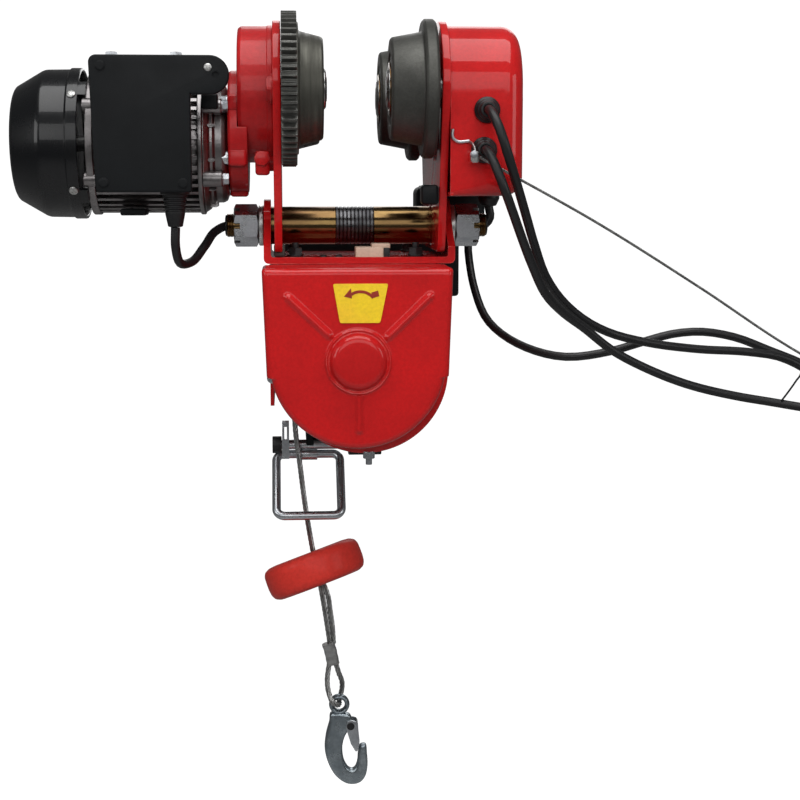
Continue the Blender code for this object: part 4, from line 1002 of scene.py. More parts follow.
def trolley_motor():
    at = (0, 0, MOTOR_Z)
    rotor = [(0, -76), (6, -76), (6, -128), (33, -128), (33, -196), (6, -196), (6, -240), (0, -240)]
    made = lathe("rotor", rotor, STEEL, "trolley_rotor", "motor_rotor", at=at, steps=72)
    changed(made, [slab_mesh([gear_loop(14, 1.25, pi / 2)], -85.0, -75.0, "X", at, 0.2)], "UNION")
    slab("stator_core", [fin_loop(54.0, 49.5, 44), circle(36, 96)], -204.0, -121.0, ALLOY, "frame",
         "motor_stator",
         at=at, edge=0.4, soft=1, sharp=25)
    for name, low, high in (("front", -123.5, -119.6), ("rear", -207.5, -201.5)):
        lathe(f"stator_ring_{name}", [(36.2, low), (54.8, low), (55.4, low + 0.6), (55.4, high - 0.6),
                                      (54.8, high), (36.2, high)],
              ALLOY, "frame", at=at, steps=112, ease=0.4)
    bell = [
        (7.5, -100.8), (40.0, -100.8), (44.5, -102.5), (46.0, -105.5), (46.0, -110.5), (48.8, -112.0),
        (48.8, -114.4),
        (51.0, -115.4), (52.6, -117.8), (53.6, -119.3), (34.0, -119.3), (30.0, -112.0), (7.5, -112.0),
    ]
    lathe("end_bell", bell, ALLOY, "frame", "motor_end_bell", at=at, steps=112, ease=0.7)
    for k in range(12):
        a = radians(15 + 30 * k)
        matrix = Matrix.Translation(at) @ Matrix.Rotation(a, 4, "X") @ Matrix.Translation((-114.6, 0, 47.6))
        piece(f"bell_rib_{k:02d}", cube_mesh((9.0, 2.4, 7.0), matrix, 0.7), ALLOY, "frame")
    for k, y, z in around((212, 148, 32, -32), 51.5, 0, MOTOR_Z):
        lathe(f"bell_lug_{k}", [(0, -104.5), (5.4, -104.5), (6.2, -105.3), (6.2, -119.6), (0, -119.6)], ALLOY,
              "frame",
              at=(0, y, z), steps=40, ease=0.5)
        bolt(f"bell_bolt_{k}", (-104.7, y, z), (1, 0, 0), 8.0, 4.0, ZINC, washer=0.9, start=0.5 * k)
        lathe(f"rear_lug_{k}", [(0, -197.0), (5.6, -197.0), (6.0, -197.8), (6.0, -209.4), (5.2, -210.2),
                                (0, -210.2)], ALLOY,
              "frame", at=(0, y, z), steps=40, ease=0.5)
    blades = [lathe_mesh([(6.3, -232), (19, -232), (19, -220), (6.3, -220)], at, "X", 48, 0.5)]
    for k in range(BLADES):
        matrix = Matrix.Translation(at) @ Matrix.Rotation(2 * pi * k / BLADES, 4, "X")
        matrix = matrix @ Matrix.Translation((-226, 0, 30.5)) @ Matrix.Rotation(radians(18), 4, "Z")
        blades.append(cube_mesh((11.6, 1.8, 26.5), matrix))
    blades.append(lathe_mesh([(6.3, -220.9), (43.6, -220.9), (43.6, -220.1), (6.3, -220.1)], at, "X", 64,
                             0.2))
    piece("fan_wheel", merged(blades), PLASTIC, "trolley_rotor", ("cooling_fan",))
    cover = [
        (0, -263.5), (40, -263.5), (53.6, -242.0), (55.6, -213.0), (58.3, -213.0), (58.5, -214.0),
        (58.5, -221.5), (57.4, -222.3),
        (57.1, -240.8), (56.3, -243.6), (44.2, -264.2), (40.6, -266.0), (0, -266.0),
    ]
    made = lathe("fan_shroud", cover, GLOSS, "frame", "fan_cover", at=at, steps=144, ease=1.6)
    vents(made, ((12.0, 21.0, 10), (24.5, 35.0, 16)), -269, -260.5, "X", at)
    lathe("fan_shroud_boss", [(0, -265.8), (8.5, -265.8), (8.5, -266.5), (7.0, -267.1), (0, -267.1)], GLOSS,
          "frame", at=at,
          steps=48, ease=0.3)
    for k, y, z in around((218, 142, 38, -38), 1):
        screw(f"shroud_screw_{k}", (-217.6, 58.3 * y, MOTOR_Z + 58.3 * z), (0, y, z), 3.6, 2.2, turn=0.3 * k)
    for k in range(4):
        a = 45 + 90 * k
        loop = arc((0, 0), 58.3, a - 7, a + 7, 6) + arc((0, 0), 55.6, a + 7, a - 7, 6)
        slab(f"shroud_tab_{k}", [loop], -214.0, -207.0, GLOSS, "frame", at=at, edge=0.4)


def terminal_box():
    loop = (
        arc((-193.5, 57.0), 5.5, 90, 180, 8) + [(-197.6, 10.0), (-196.0, -35.0), (-194.0, -37.0)]
        + [(-127.0, -37.0), (-125.5, -35.5), (-125.5, 34.5), (-124.0, 34.0)] + arc((-111.25, 48.25), 14.25,
                                                                                   -90, 90, 24)
    )
    lid = slab("terminal_lid", [loop], -90.0, -84.0, PLASTIC, "frame", "terminal_box_lid", axis="Y", edge=1.3,
               soft=3)
    changed(lid, [lathe_mesh([(0, -91), (2.6, -91), (2.6, -87.6), (0, -87.6)], (-106.8, 0, 48.2), "Y", 32,
                             0.0)])
    block("terminal_body", (-193, -83.7, -33), (-129, -55.6, 56.5), PLASTIC, "frame", "terminal_box",
          edge=2.5)
    slab("terminal_gasket", [[(-194.5, -34.6), (-127.7, -34.6), (-127.7, 58.6), (-194.5, 58.6)]], -84.0,
         -82.4, RUBBER, "frame",
         axis="Y", edge=0.4)
    screw("lid_screw_white", (-112.4, -90.0, 53.6), (0, -1, 0), 3.0, 1.8, turn=0.7)
    for k, (x, z) in enumerate(((-190.5, 54.5), (-190.0, -30.0), (-132.0, -30.5))):
        lathe(f"lid_screw_well_{k}", [(0, -90.05), (3.8, -90.05), (3.8, -90.5), (2.6, -90.9), (0, -90.9)],
              PLASTIC, "frame",
              at=(x, 0, z), axis="Y", steps=40, ease=0.2)
    for name, x in (("one", -184.2), ("two", -136.8)):
        bolt(f"motor_top_bolt_{name}", (x, -66.0, 59.5), (0, 0, 1), 8.6, 5.4, ZINC, washer=1.2)
    block("terminal_top_ledge", (-196.0, -76.0, 54.0), (-128.0, -58.0, 59.6), PLASTIC, "frame", edge=2.0)
    block("capacitor_block", (-119.6, -55.5, 25.0), (-107.0, -44.0, 36.6), PLASTIC, "frame", edge=1.6)
    block("stator_foot", (-184.0, -36.0, -55.2), (-164.0, -12.0, -50.0), PLASTIC, "frame", edge=1.4)
    gland = [(3.6, -33.4), (11.0, -33.4), (11.0, -38.2), (9.4, -39.0)]
    for k in range(4):
        z = -40.5 - 3.0 * k
        gland += [(9.4 - 0.5 * k, z), (8.3 - 0.5 * k, z - 0.5), (8.3 - 0.5 * k, z - 1.6),
                  (9.0 - 0.5 * k, z - 2.1)]
    gland += [(7.4, -53.4), (5.6, -62.4), (4.6, -63.0), (3.6, -63.0)]
    lathe("terminal_gland", gland, RUBBER, "frame", "motor_cable_gland", at=(-139.5, -70.0, 0), axis="Z",
          steps=64, ease=0.3)


# ---------------------------------------------------------------- control box


def dish_mesh(rings, wall):
    """A thin-walled dish through rings of matching world points, the last one closed."""
    rings = [np.array(r, float) for r in rings]
    work = bmesh.new()
    outer = [[work.verts.new(p) for p in ring] for ring in rings]
    for one, two in zip(outer, outer[1:]):
        for k in range(len(one)):
            work.faces.new((one[k - 1], one[k], two[k], two[k - 1]))
    work.faces.new(outer[-1])
    bmesh.ops.recalc_face_normals(work, faces=work.faces)
    mesh = bpy.data.meshes.new("dish")
    work.to_mesh(mesh)
    work.free()
    holder = bpy.data.objects.new("dish", mesh)
    bpy.context.scene.collection.objects.link(holder)
    thick = holder.modifiers.new("wall", "SOLIDIFY")
    thick.thickness = wall
    thick.offset = -1
    bpy.context.view_layer.update()
    solid = bpy.data.meshes.new_from_object(holder.evaluated_get(bpy.context.evaluated_depsgraph_get()))
    bpy.data.objects.remove(holder, do_unlink=True)
    work = bmesh.new()
    work.from_mesh(solid)
    return mesh_of(work)


def moved_in(outline, amount):
    """The outline with every point moved in square to the outline by the amount."""
    points = np.array(outline, float)
    along = np.roll(points, -1, 0) - np.roll(points, 1, 0)
    along /= np.linalg.norm(along, axis=1)[:, None]
    normal = np.stack([-along[:, 1], along[:, 0]], axis=1)
    area = np.sum(points[:, 0] * np.roll(points[:, 1], -1) - np.roll(points[:, 0], -1) * points[:, 1])
    return points + normal * amount * (1 if area > 0 else -1)


def control_box():
    half, low, top, corner, rim, face = 92.0, -40.0, 88.5, 48.0, 14.0, 121.5
    plate = 65.8

    def rounded(foot):
        return (
            arc((half - corner, top - corner), corner, 0, 90, 36)
            + arc((corner - half, top - corner), corner, 90, 180, 36)
            + arc((-half + foot, low + foot), foot, 180, 270, 14) + arc((half - foot, low + foot), foot, 270,
                                                                        360, 14)
        )

    outline, square = rounded(15), rounded(4)
    rings = []
    for x in (plate, 90.0, face - rim):
        t = (x - plate) / (face - rim - plate)
        rings.append([(x, a[0] * (1 - t) + b[0] * t, a[1] * (1 - t) + b[1] * t) for a,
                      b in zip(square, outline)])
    for k in range(1, 13):
        angle = radians(7.5 * k)
        loop = moved_in(outline, (rim - 0.5) * (1 - cos(angle)))
        rings.append([(face - rim + rim * sin(angle), y, z) for y, z in loop])
    made = piece("control_cover", dish_mesh(rings, 2.0), RED, "frame", ("control_box",), 40)
    changed(made, [lathe_mesh([(0, -100), (6.5, -100), (6.5, -84), (0, -84)], (x, 0, z), "Y", 40, 0.0)
                   for x, z in (UPPER_HOLE, LOWER_HOLE)])
    made.data.set_sharp_from_angle(angle=radians(40))
    for name, (x, z) in (("upper", UPPER_HOLE), ("lower", LOWER_HOLE)):
        sleeve = [(3.6, -101.8), (5.4, -101.8), (6.4, -100.2), (6.4, -98.8), (7.6, -98.2), (7.8, -96.8),
                  (8.6, -96.0), (9.6, -95.2),
                  (9.8, -93.2), (9.0, -92.3), (6.2, -92.3), (6.2, -86.0), (3.6, -86.0)]
        lathe(f"grommet_{name}", sleeve, RUBBER, "frame", f"{name}_grommet", at=(x, 0, z), axis="Y", steps=64,
              ease=0.5)
    block("box_plate_lip", (65.9, -91.6, -39.6), (68.6, 91.6, -37.0), RED, "frame", edge=0.6)
    for k, (y, z) in enumerate(((-60.0, -24.0), (60.0, -24.0), (-50.0, 70.0), (50.0, 70.0))):
        screw(f"box_screw_{k}", (face - 0.2, y, z), (1, 0, 0), 4.0, 2.2, turn=0.5 * k)
    bent = smooth_route([(67.2, -93.8, 9.5), (67.4, -93.8, 3.0), (69.8, -93.8, 0.8), (79.5, -93.8, 0.6)], 0.6)
    swept("strain_rod", bent, 1.2, ZINC, "frame", "strain_hook", sides=20)
    block("rope_clamp", (79.0, -108.5, -15.5), (85.5, -101.6, -7.0), WHITE, "frame", "wire_clamp", edge=1.8,
          segments=4)
    bolt("rope_clamp_bolt", (81.6, -108.4, -9.4), (0, -1, 0), 4.6, 2.0, ZINC, washer=0.4)
    swept("clamp_wire_end", smooth_route([(79.8, -94.0, 0.0), (81.5, -98.0, -1.6), (82.6, -102.0, -4.8),
                                          (82.8, -104.5, -8.0)], 0.6),
          1.1, ROPE_STEEL, "frame", sides=16)
    # Black block standing in for the shaded inside of the right side plate near its front edge: painted
    # shade, not a part
    block("plate_shade_block", (45.5, -80.0, -46.5), (58.5, -62.0, -31.5), PLASTIC, "frame", edge=2.6)
    lathe("motor_cable_entry", [(3.7, -40.3), (8.6, -40.3), (8.6, -43.0), (6.0, -48.5), (3.7, -49.0)], RUBBER,
          "frame",
          at=(106.5, 0, 0), axis="Z", steps=48, ease=0.4)


# ---------------------------------------------------------------- hanger and hoist housing


def hanger():
    z0, z1, out, inn, high = -92.0, -87.0, 74.0, 68.5, -34.0
    bend = 4.0
    section = (
        arc((-out + bend, z0 + bend), bend, 180, 270, 8) + arc((out - bend, z0 + bend), bend, 270, 360, 8)
        + [(out, high), (inn, high)] + arc((inn - 2, z1 + 2), 2, 360, 270, 6) + arc((-inn + 2, z1 + 2), 2,
                                                                                    270, 180, 6)
        + [(-inn, high), (-out, high)]
    )
    made = slab("hanger_channel", [section], -52.0, 52.0, RED, "frame", "hanger_bracket", axis="Y", edge=0.4)
    half = 51.2
    cheek = [(-half, -100), (half, -100), (half, z1 + 8)] + arc((0, SHAFT_Z), 21.0, 15, 165,
                                                                24) + [(-half, z1 + 8)]
    changed(made, [slab_mesh([cheek, circle(15.3, 64, (0, SHAFT_Z))], -95, 95, "X", (0, 0, 0), 0.0)],
            "INTERSECT")
    for name, x in (("left", -49.6), ("right", 44.2)):
        for end, y in ((name, -38.0), (f"rear_{name}", 38.0)):
            bolt(f"hanger_nut_{end}", (x, y, z1), (0, 0, 1), 10.0, 5.2, DARK, washer=1.6, stud=4.0)
    block("relay_case", (-3.0, -46.0, -92.0), (19.0, -26.0, -79.5), CREAM, "frame", edge=1.2)
    block("relay_top", (9.6, -45.0, -80.5), (24.0, -28.0, -76.9), CREAM, "frame", edge=0.8)
    block("relay_arm", (18.9, -47.2, -93.0), (23.6, -27.0, -80.2), DARK, "frame", edge=0.7)
    block("left_stop_block", (-66.2, -48.0, -86.8), (-57.4, -36.0, -77.2), IRON, "frame", edge=1.4)
    for k, x in enumerate((-28.0, -16.0)):
        screw(f"relay_screw_{k}", (x, -44.0, -87.0), (0, 0, 1), 3.0, 1.8, DARK)


def housing():
    x0, x1, wall, z0, z1 = HOIST_X - 66, HOIST_X + 66, 3.0, -202.0, -92.3
    r = 4.0
    section = (
        [(x0, z0), (x0 + wall, z0)] + arc((x0 + wall + 1.2, z1 - wall - 1.2), 1.2, 180, 90, 4)
        + arc((x1 - wall - 1.2, z1 - wall - 1.2), 1.2, 90, 0, 4) + [(x1 - wall, z0), (x1, z0)]
        + arc((x1 - r, z1 - r), r, 0, 90, 8) + arc((x0 + r, z1 - r), r, 90, 180, 8)
    )
    slab("housing_channel", [section], -54.0, 60.0, RED, "frame", "hoist_frame", axis="Y", edge=0.4)
    pan = [(62.0, -92.3), (-70.0, -92.3)] + arc((3.0, -174.0), 65.0, 188, 360, 64)
    made = slab("gear_plate", [pan, circle(30, 64, (HOIST_X, DRUM_Z))], -61.7, -54.3, RED, "frame",
                "gear_pan", axis="Y",
                edge=0.9)
    changed(made, [lathe_mesh([(0, -96), (4, -96), (4, -56), (0, -56)], (HOIST_X, 0, IDLER_Z), "Y", 40)],
            "UNION")
    rear = [(x1, z1), (x0, z1)] + arc((HOIST_X, DRUM_Z), 66.0, 180, 360, 64)
    slab("rear_plate", [rear, circle(9.0, 48, (HOIST_X, DRUM_Z))], 60.3, 68.0, RED, "frame", "motor_flange",
         axis="Y",
         edge=1.0)
    for k, x, z in around((225, 315, 180, 0), 58.5, HOIST_X, DRUM_Z):
        bolt(f"rear_bolt_{k}", (x, 68.0, z), (0, 1, 0), 8.0, 4.2, ZINC, washer=1.0)
    bolt("pan_stud", (6.2, -58.0, -237.6), (0, 0, -1), 9.0, 4.6, ZINC, washer=1.4, stud=5.0)
    block("pan_ledge", (-10.0, -60.5, -240.5), (16.0, -44.0, -237.0), DARK, "frame", edge=1.0)


def cover_outline(grow, count=420):
    """Points round the front cover, evenly spread, with its two small notches."""
    half, arc_r = 71.0 + grow, 66.0 + grow
    left, right = HOIST_X - half, HOIST_X + half
    notch = half - 4.5
    start = -degrees(asin((DRUM_Z + 174.0) / arc_r)) - 4
    loop = [(right, -92.3 + grow), (right - 3, -174.0), (HOIST_X + notch - 2, -174.0)]
    loop += arc((HOIST_X, DRUM_Z), arc_r, start, -180 - start, 90)
    loop += [(HOIST_X - notch + 2, -174.0), (left + 3, -174.0), (left, -92.3 + grow)]
    points = np.array(eased(loop, 3.0, True, 8))
    ring = np.vstack([points, points[:1]])
    along = np.concatenate([[0], np.cumsum(np.linalg.norm(np.diff(ring, axis=0), axis=1))])
    at = np.linspace(0, along[-1], count, endpoint=False)
    return np.stack([np.interp(at, along, ring[:, k]) for k in range(2)], axis=1)


def ridge(x, z, one, two, width, high):
    """Height of a pressed rib with round ends along the line from one to two."""
    a, b, p = np.array(one), np.array(two), np.stack([x, z], axis=-1)
    t = np.clip(((p - a) @ (b - a)) / ((b - a) @ (b - a)), 0, 1)
    away = np.linalg.norm(p - (a + t[..., None] * (b - a)), axis=-1)
    share = np.clip(1 - away / width, 0, 1)
    return high * (share * share * (3 - 2 * share))


def front_cover():
    outline = cover_outline(0)
    middle = np.array([HOIST_X, DRUM_Z])
    rings = []

    def add(points, y):
        rings.append([(p[0], v, p[1]) for p, v in zip(points, np.broadcast_to(y, len(points)))])

    for y in (-62.0, -63.2, -66, -73, -80, -88, -96, -102, -104.5):
        add(outline, y)
    for k in range(1, 11):
        a = radians(9 * k)
        face = cover_outline(-5.0 * (1 - cos(a)))
        add(face, -105.0 - 5.0 * sin(a))
    ray = face - middle
    far = np.linalg.norm(ray, axis=1)
    unit = ray / far[:, None]
    boss_edge = 25.5
    for k in range(1, 46):
        t = k / 45
        reach = far * (1 - t) + boss_edge * t
        points = middle + unit * reach[:, None]
        x, z = points[:, 0], points[:, 1]
        rise = (
            ridge(x, z, (18.5, -143.0), (49.0, -113.5), 4.4, 2.4) + ridge(x, z, (-26.0, -141.5),
                                                                          (-55.5, -113.8), 4.4, 2.4)
            + ridge(x, z, (-3.4, -187.0), (-3.6, -213.0), 4.0, 2.2)
        )
        add(points, -110.0 - rise)
    for radius, y in ((25.0, -110.3), (24.4, -111.2), (23.8, -111.7), (23.0, -111.6), (22.3, -111.1),
                      (21.5, -111.3), (20.9, -112.4),
                      (20.2, -114.2), (19.0, -115.7), (17.2, -116.6), (14.8, -117.0), (6.0, -117.0)):
        add(middle + unit * radius, y)
    piece("cover_shell", dish_mesh(rings, 1.5), RED, "frame", ("front_cover",), 40)
    sticker = [(-22.6, -103.6), (18.2, -103.6), (12.2, -132.6), (-17.6, -132.6)]
    slab("cover_label", [eased(sticker, 1.6, True, 4)], -111.05, -110.1, YELLOW, "frame", axis="Y", edge=0.1,
         soft=0)
    shaft = arc((-2.4, -121.5), 13.2, 38, 128, 20)
    inner = arc((-2.4, -121.5), 11.0, 128, 38, 20)
    tip = [(-14.6, -113.0), (-9.4, -106.8), (-8.6, -114.4)]
    tail = [(5.6, -110.0), (10.6, -108.6), (11.6, -112.8), (6.6, -114.2)]
    for mark, loop, front in (("arrow", shaft + inner, -111.3), ("head", tip, -111.32),
                              ("tail", tail, -111.32)):
        slab(f"cover_label_{mark}", [loop], front, -111.0, LABEL_RED, "frame", axis="Y", edge=0.05, soft=0)
    for k, (x, z) in enumerate(((-70.0, -171.2), (62.0, -171.2))):
        bolt(f"cover_stud_{k}", (x + (1.5 if k == 0 else -1.5), -63.0, z - 8.0), (0, -1, 0), 6.5, 3.4, ZINC,
             washer=0.8)


# ---------------------------------------------------------------- hoist drive


def hoist_drive():
    axis = (HOIST_X, 0, DRUM_Z)
    groove = []
    for k in range(18):
        y = -42.0 + 4.7 * k
        groove += [(44.0, y), (43.3, y + 2.35)]
    drum = (
        [(10, -48), (51, -48), (51, -45), (44.2, -45)] + groove
        + [(44.2, 45), (51, 45), (51, 48), (10, 48)]
    )
    lathe("drum_body", drum, STEEL, "drum", "rope_drum", at=axis, axis="Y", steps=112, ease=0.4)
    turns, pitch, steps = 10.6, 4.7, 96
    wound = []
    for k in range(int(turns * steps) + 1):
        a = 2 * pi * k / steps
        wound.append((HOIST_X - 46.4 * cos(a), ROPE_Y + pitch * a / (2 * pi) + 2.4, DRUM_Z + 46.4 * sin(a)))
    swept("drum_rope", wound, strands(ROPE_R), ROPE_STEEL, "drum", sides=30, twist=ROPE_LAY, sharp=80)
    gear = slab("drum_wheel", [gear_loop(35, 1.4, pi / 2 + pi / 35), circle(10, 48)], -78.0, -68.0, STEEL,
                "drum",
                "drum_gear", axis="Y", at=axis, edge=0.25)
    changed(gear, [lathe_mesh([(10, -69), (17, -69), (17, -48.3), (10, -48.3)], axis, "Y", 64)], "UNION")
    idler_at = (HOIST_X, 0, IDLER_Z)
    idler = slab("idler_wheel", [gear_loop(44, 1.25, 1.5 * pi + pi / 44), circle(4.3, 40)], -92.0, -83.0,
                 STEEL,
                 "idler", "idler_gear", axis="Y", at=idler_at, edge=0.25)
    changed(idler, [slab_mesh([gear_loop(15, 1.4, 1.5 * pi), circle(4.3, 40)], -83.5, -67.0, "Y", idler_at,
                              0.2)], "UNION")
    rotor = [
        (0, -83), (6, -83), (6, 86), (31, 86), (31, 150), (6, 150), (6, 184), (42, 184), (42, 185.2),
        (12, 185.2), (12, 194), (0, 194),
    ]
    made = lathe("hoist_spindle", rotor, STEEL, "hoist_motor_rotor", "hoist_rotor", at=axis, axis="Y",
                 steps=80, ease=0.3)
    changed(made, [slab_mesh([gear_loop(12, 1.25, pi / 2)], -92.5, -82.0, "Y", axis, 0.2)], "UNION")
    blades = []
    for k in range(BLADES):
        spun = Matrix.Rotation(2 * pi * k / BLADES, 4, "Y") @ Matrix.Translation((27, 189.4, 0))
        blades.append(cube_mesh((28.0, 8.6, 1.6), Matrix.Translation(axis) @ spun))
    piece("hoist_fan_blades", merged(blades), PLASTIC, "hoist_motor_rotor")


def hoist_motor():
    axis = (HOIST_X, 0, DRUM_Z)
    body = [
        (8, 68.3), (47, 68.3), (50.5, 71.0), (52.6, 75.5), (52.6, 84.0), (49.4, 85.0), (49.4, 168.0),
        (52.6, 169.0), (52.6, 178.0),
        (34, 178.0), (34, 73.3), (8, 73.3),
    ]
    lathe("hoist_motor_case", body, ALLOY, "frame", "hoist_motor_body", at=axis, axis="Y", steps=112,
          ease=0.6)
    slab("hoist_motor_fins", [fin_loop(53.0, 49.3, 46), circle(48.6, 96)], 85.2, 167.8, ALLOY, "frame",
         axis="Y", at=axis,
         edge=0.3, soft=1, sharp=25)
    cover = [
        (0, 220), (40, 220), (54, 207), (54, 178.3), (55.6, 178.3), (56, 179.0), (56, 208.0), (52.5, 215.0),
        (46.5, 220.2), (42, 222), (0, 222),
    ]
    made = lathe("hoist_shroud", cover, GLOSS, "frame", "hoist_fan_cover", at=axis, axis="Y", steps=128,
                 ease=1.4)
    vents(made, ((11.0, 21.0, 10), (24.5, 36.0, 16)), 217, 225, "Y", axis)
    for k, x, z in around((45, 135, 225, 315), 1):
        screw(f"hoist_shroud_screw_{k}", (HOIST_X + 55.8 * x, 183.5, DRUM_Z + 55.8 * z), (x, 0, z), 3.4, 2.0,
              turn=0.4 * k)
    seat = lathe_mesh([(0, 60), (53.3, 60), (53.3, 200), (0, 200)], axis, "Y", 96, 0.0)
    box = block("hoist_terminal_case", (-58, 84, -128), (92, 150, -64), PLASTIC, "frame",
                "hoist_terminal_box", edge=3.0)
    changed(box, [seat])
    block("hoist_terminal_hood", (56, 96, -70), (116, 140, -34), PLASTIC, "frame", edge=6.0, segments=5)
    gland = [(3.7, -65), (9.5, -65), (9.5, -71), (8.2, -71.6), (8.0, -74.5), (7.0, -75.2), (6.0, -80.0),
             (3.7, -80.0)]
    lathe("hoist_terminal_gland", gland, RUBBER, "frame", at=(102.5, 108, 0), axis="Z", steps=56, ease=0.4)
    for k, (x, y) in enumerate(((64, 103), (108, 103), (64, 133), (108, 133))):
        screw(f"hood_screw_{k}", (x, y, -34.2), (0, 0, 1), 3.0, 1.6, turn=0.3 * k)


# ---------------------------------------------------------------- limit lever, weight and hook


def limit_switch():
    case = block("limit_case", (-42, 12, -243), (-8, 60, -214), PLASTIC, "frame", "limit_switch_box",
                 edge=1.6)
    ears = [block_mesh((x, -1, -243), (x + 6, 14, -234), 0.8) for x in (-42, -14)]
    changed(case, ears, "UNION")
    changed(case, [lathe_mesh([(0, -52), (4.3, -52), (4.3, 2), (0, 2)], (0, PIVOT[1], PIVOT[2]), "X", 40,
                              0.0)])
    rod = [(0, -67.5), (3.2, -67.5), (4.0, -66.7), (4.0, -9.3), (3.2, -8.5), (0, -8.5)]
    lathe("pivot_rod", rod, ZINC, "frame", "limit_pivot", at=PIVOT, steps=48, ease=0.2)
    lathe("pivot_cap", [(4.2, -69.6), (6.6, -69.6), (7.0, -69.2), (7.0, -62.4), (6.6, -62.0), (4.2, -62.0)],
          RUBBER, "frame",
          at=PIVOT, steps=48, ease=0.4)
    plate = [(-55.0, -219.0), (-49.4, -219.0), (-49.4, -250.0), (-55.0, -250.0)]
    slot = [(-53.2, -224.0), (-51.2, -224.0), (-51.2, -234.0), (-53.2, -234.0)]
    slab("pivot_bracket", [plate, slot], -8.0, -5.6, ZINC, "frame", axis="Y", edge=0.3, at=(-6.5, -14.0, 0))
    top, foot = Vector((0, 6.0, -251.0)), Vector((0, -34.0, -294.0))
    along, down = (foot - top).length, (foot - top).normalized()
    middle, half, bend = -40.5, 26.0, 6.5
    loop = []
    for centre, start in (((half - bend, bend), -90), ((half - bend, along - bend), 0),
                          ((-half + bend, along - bend), 90),
                          ((-half + bend, bend), 180)):
        loop += arc(centre, bend, start, start + 90, 10)
    points = []
    for k, (x, s) in enumerate(loop):
        n = loop[(k + 1) % len(loop)]
        for j in range(6 if hypot(n[0] - x, n[1] - s) > 5 else 1):
            t = j / 6
            points.append(Vector((middle + x + (n[0] - x) * t, 0, 0)) + top + down * (s + (n[1] - s) * t))
    swept("bail_rod", points, 3.5, ZINC, "limit_bail", "limit_lever", sides=28, closed=True)
    lathe("bail_sleeve", [(3.7, -49.0), (4.9, -49.0), (4.9, -33.0), (3.7, -33.0)], ZINC, "limit_bail",
          at=(0, 6.0, -251.0),
          steps=40, ease=0.3)


def rope_end():
    tilt = (
        Matrix.Translation(WEIGHT_AT) @ Matrix.Rotation(radians(-14), 4, "X")
        @ Matrix.Rotation(radians(-20), 4, "Y")
    )
    profile = [(0, 14), (29.0, 14), (35.0, 13.4), (39.2, 11.2), (40.8, 7.6), (41.0, 2.0), (41.0, -3.0),
               (40.4, -8.2), (38.4, -12.0),
               (34.0, -14), (0, -14)]
    mesh = lathe_mesh(profile, steps=144, ease=1.5, axis="Z")
    mesh.transform(Matrix.Translation(tilt.translation * MM) @ tilt.to_3x3().to_4x4())
    weight = piece("red_weight", mesh, RED_PLASTIC, "weight", ("stop_weight",))
    fall = (Vector(ROPE_ROUTE[6]) - Vector(ROPE_ROUTE[4])).normalized()
    bore = lathe_mesh([(0, 40), (4.6, 40), (4.6, -40), (0, -40)], WEIGHT_BORE_AT, fall, 48, 0.0)
    changed(weight, [bore])
    rope_bottom = [(-31.7, -8.0, -361), (-29.2, -6.4, -368), (-27.6, -5.6, -380), (-26.0, -5.4, -392),
                   (-25.0, -6.0, -408)]
    tail = [(-31.0, -8.4, -352)] + [(x + 4.0, y - 2.2, z) for x, y, z in rope_bottom[1:]]
    rope("rope_tail", smooth_route(tail, 0.8), "rope_fall")

    def sleeve(angle, along):
        squeeze = 1 + 0.02 * sin(along * pi * 6)
        return 5.2 * squeeze * (abs(cos(angle)) ** 3 + abs(sin(angle)) ** 3) ** (-1 / 3)

    line = smooth_route([(-25.6, ROPE_Y, -407.6), (-23.9, ROPE_Y, -413), (-22.4, ROPE_Y, -420),
                         (-21.2, ROPE_Y, -425.6)], 0.5)
    swept("crimp_sleeve", line, sleeve, SLEEVE, "rope_fall", "rope_ferrule", sides=40, flat=0.85, sharp=45)
    rope("eye_loop", smooth_route(LOOP_ROUTE, 0.7), "rope_fall")


def smooth_loop(points, steps=8):
    """A closed smooth outline through the points."""
    pts = np.array(points, float)
    out = []
    count = len(pts)
    for k in range(count):
        a, b, c, d = pts[k - 1], pts[k], pts[(k + 1) % count], pts[(k + 2) % count]
        for j in range(steps):
            t = j / steps
            bend = (2 * a - 5 * b + 4 * c - d) * t**2 + (3 * b - a - 3 * c + d) * t**3
            out.append(tuple(0.5 * (2 * b + (c - a) * t + bend)))
    return out


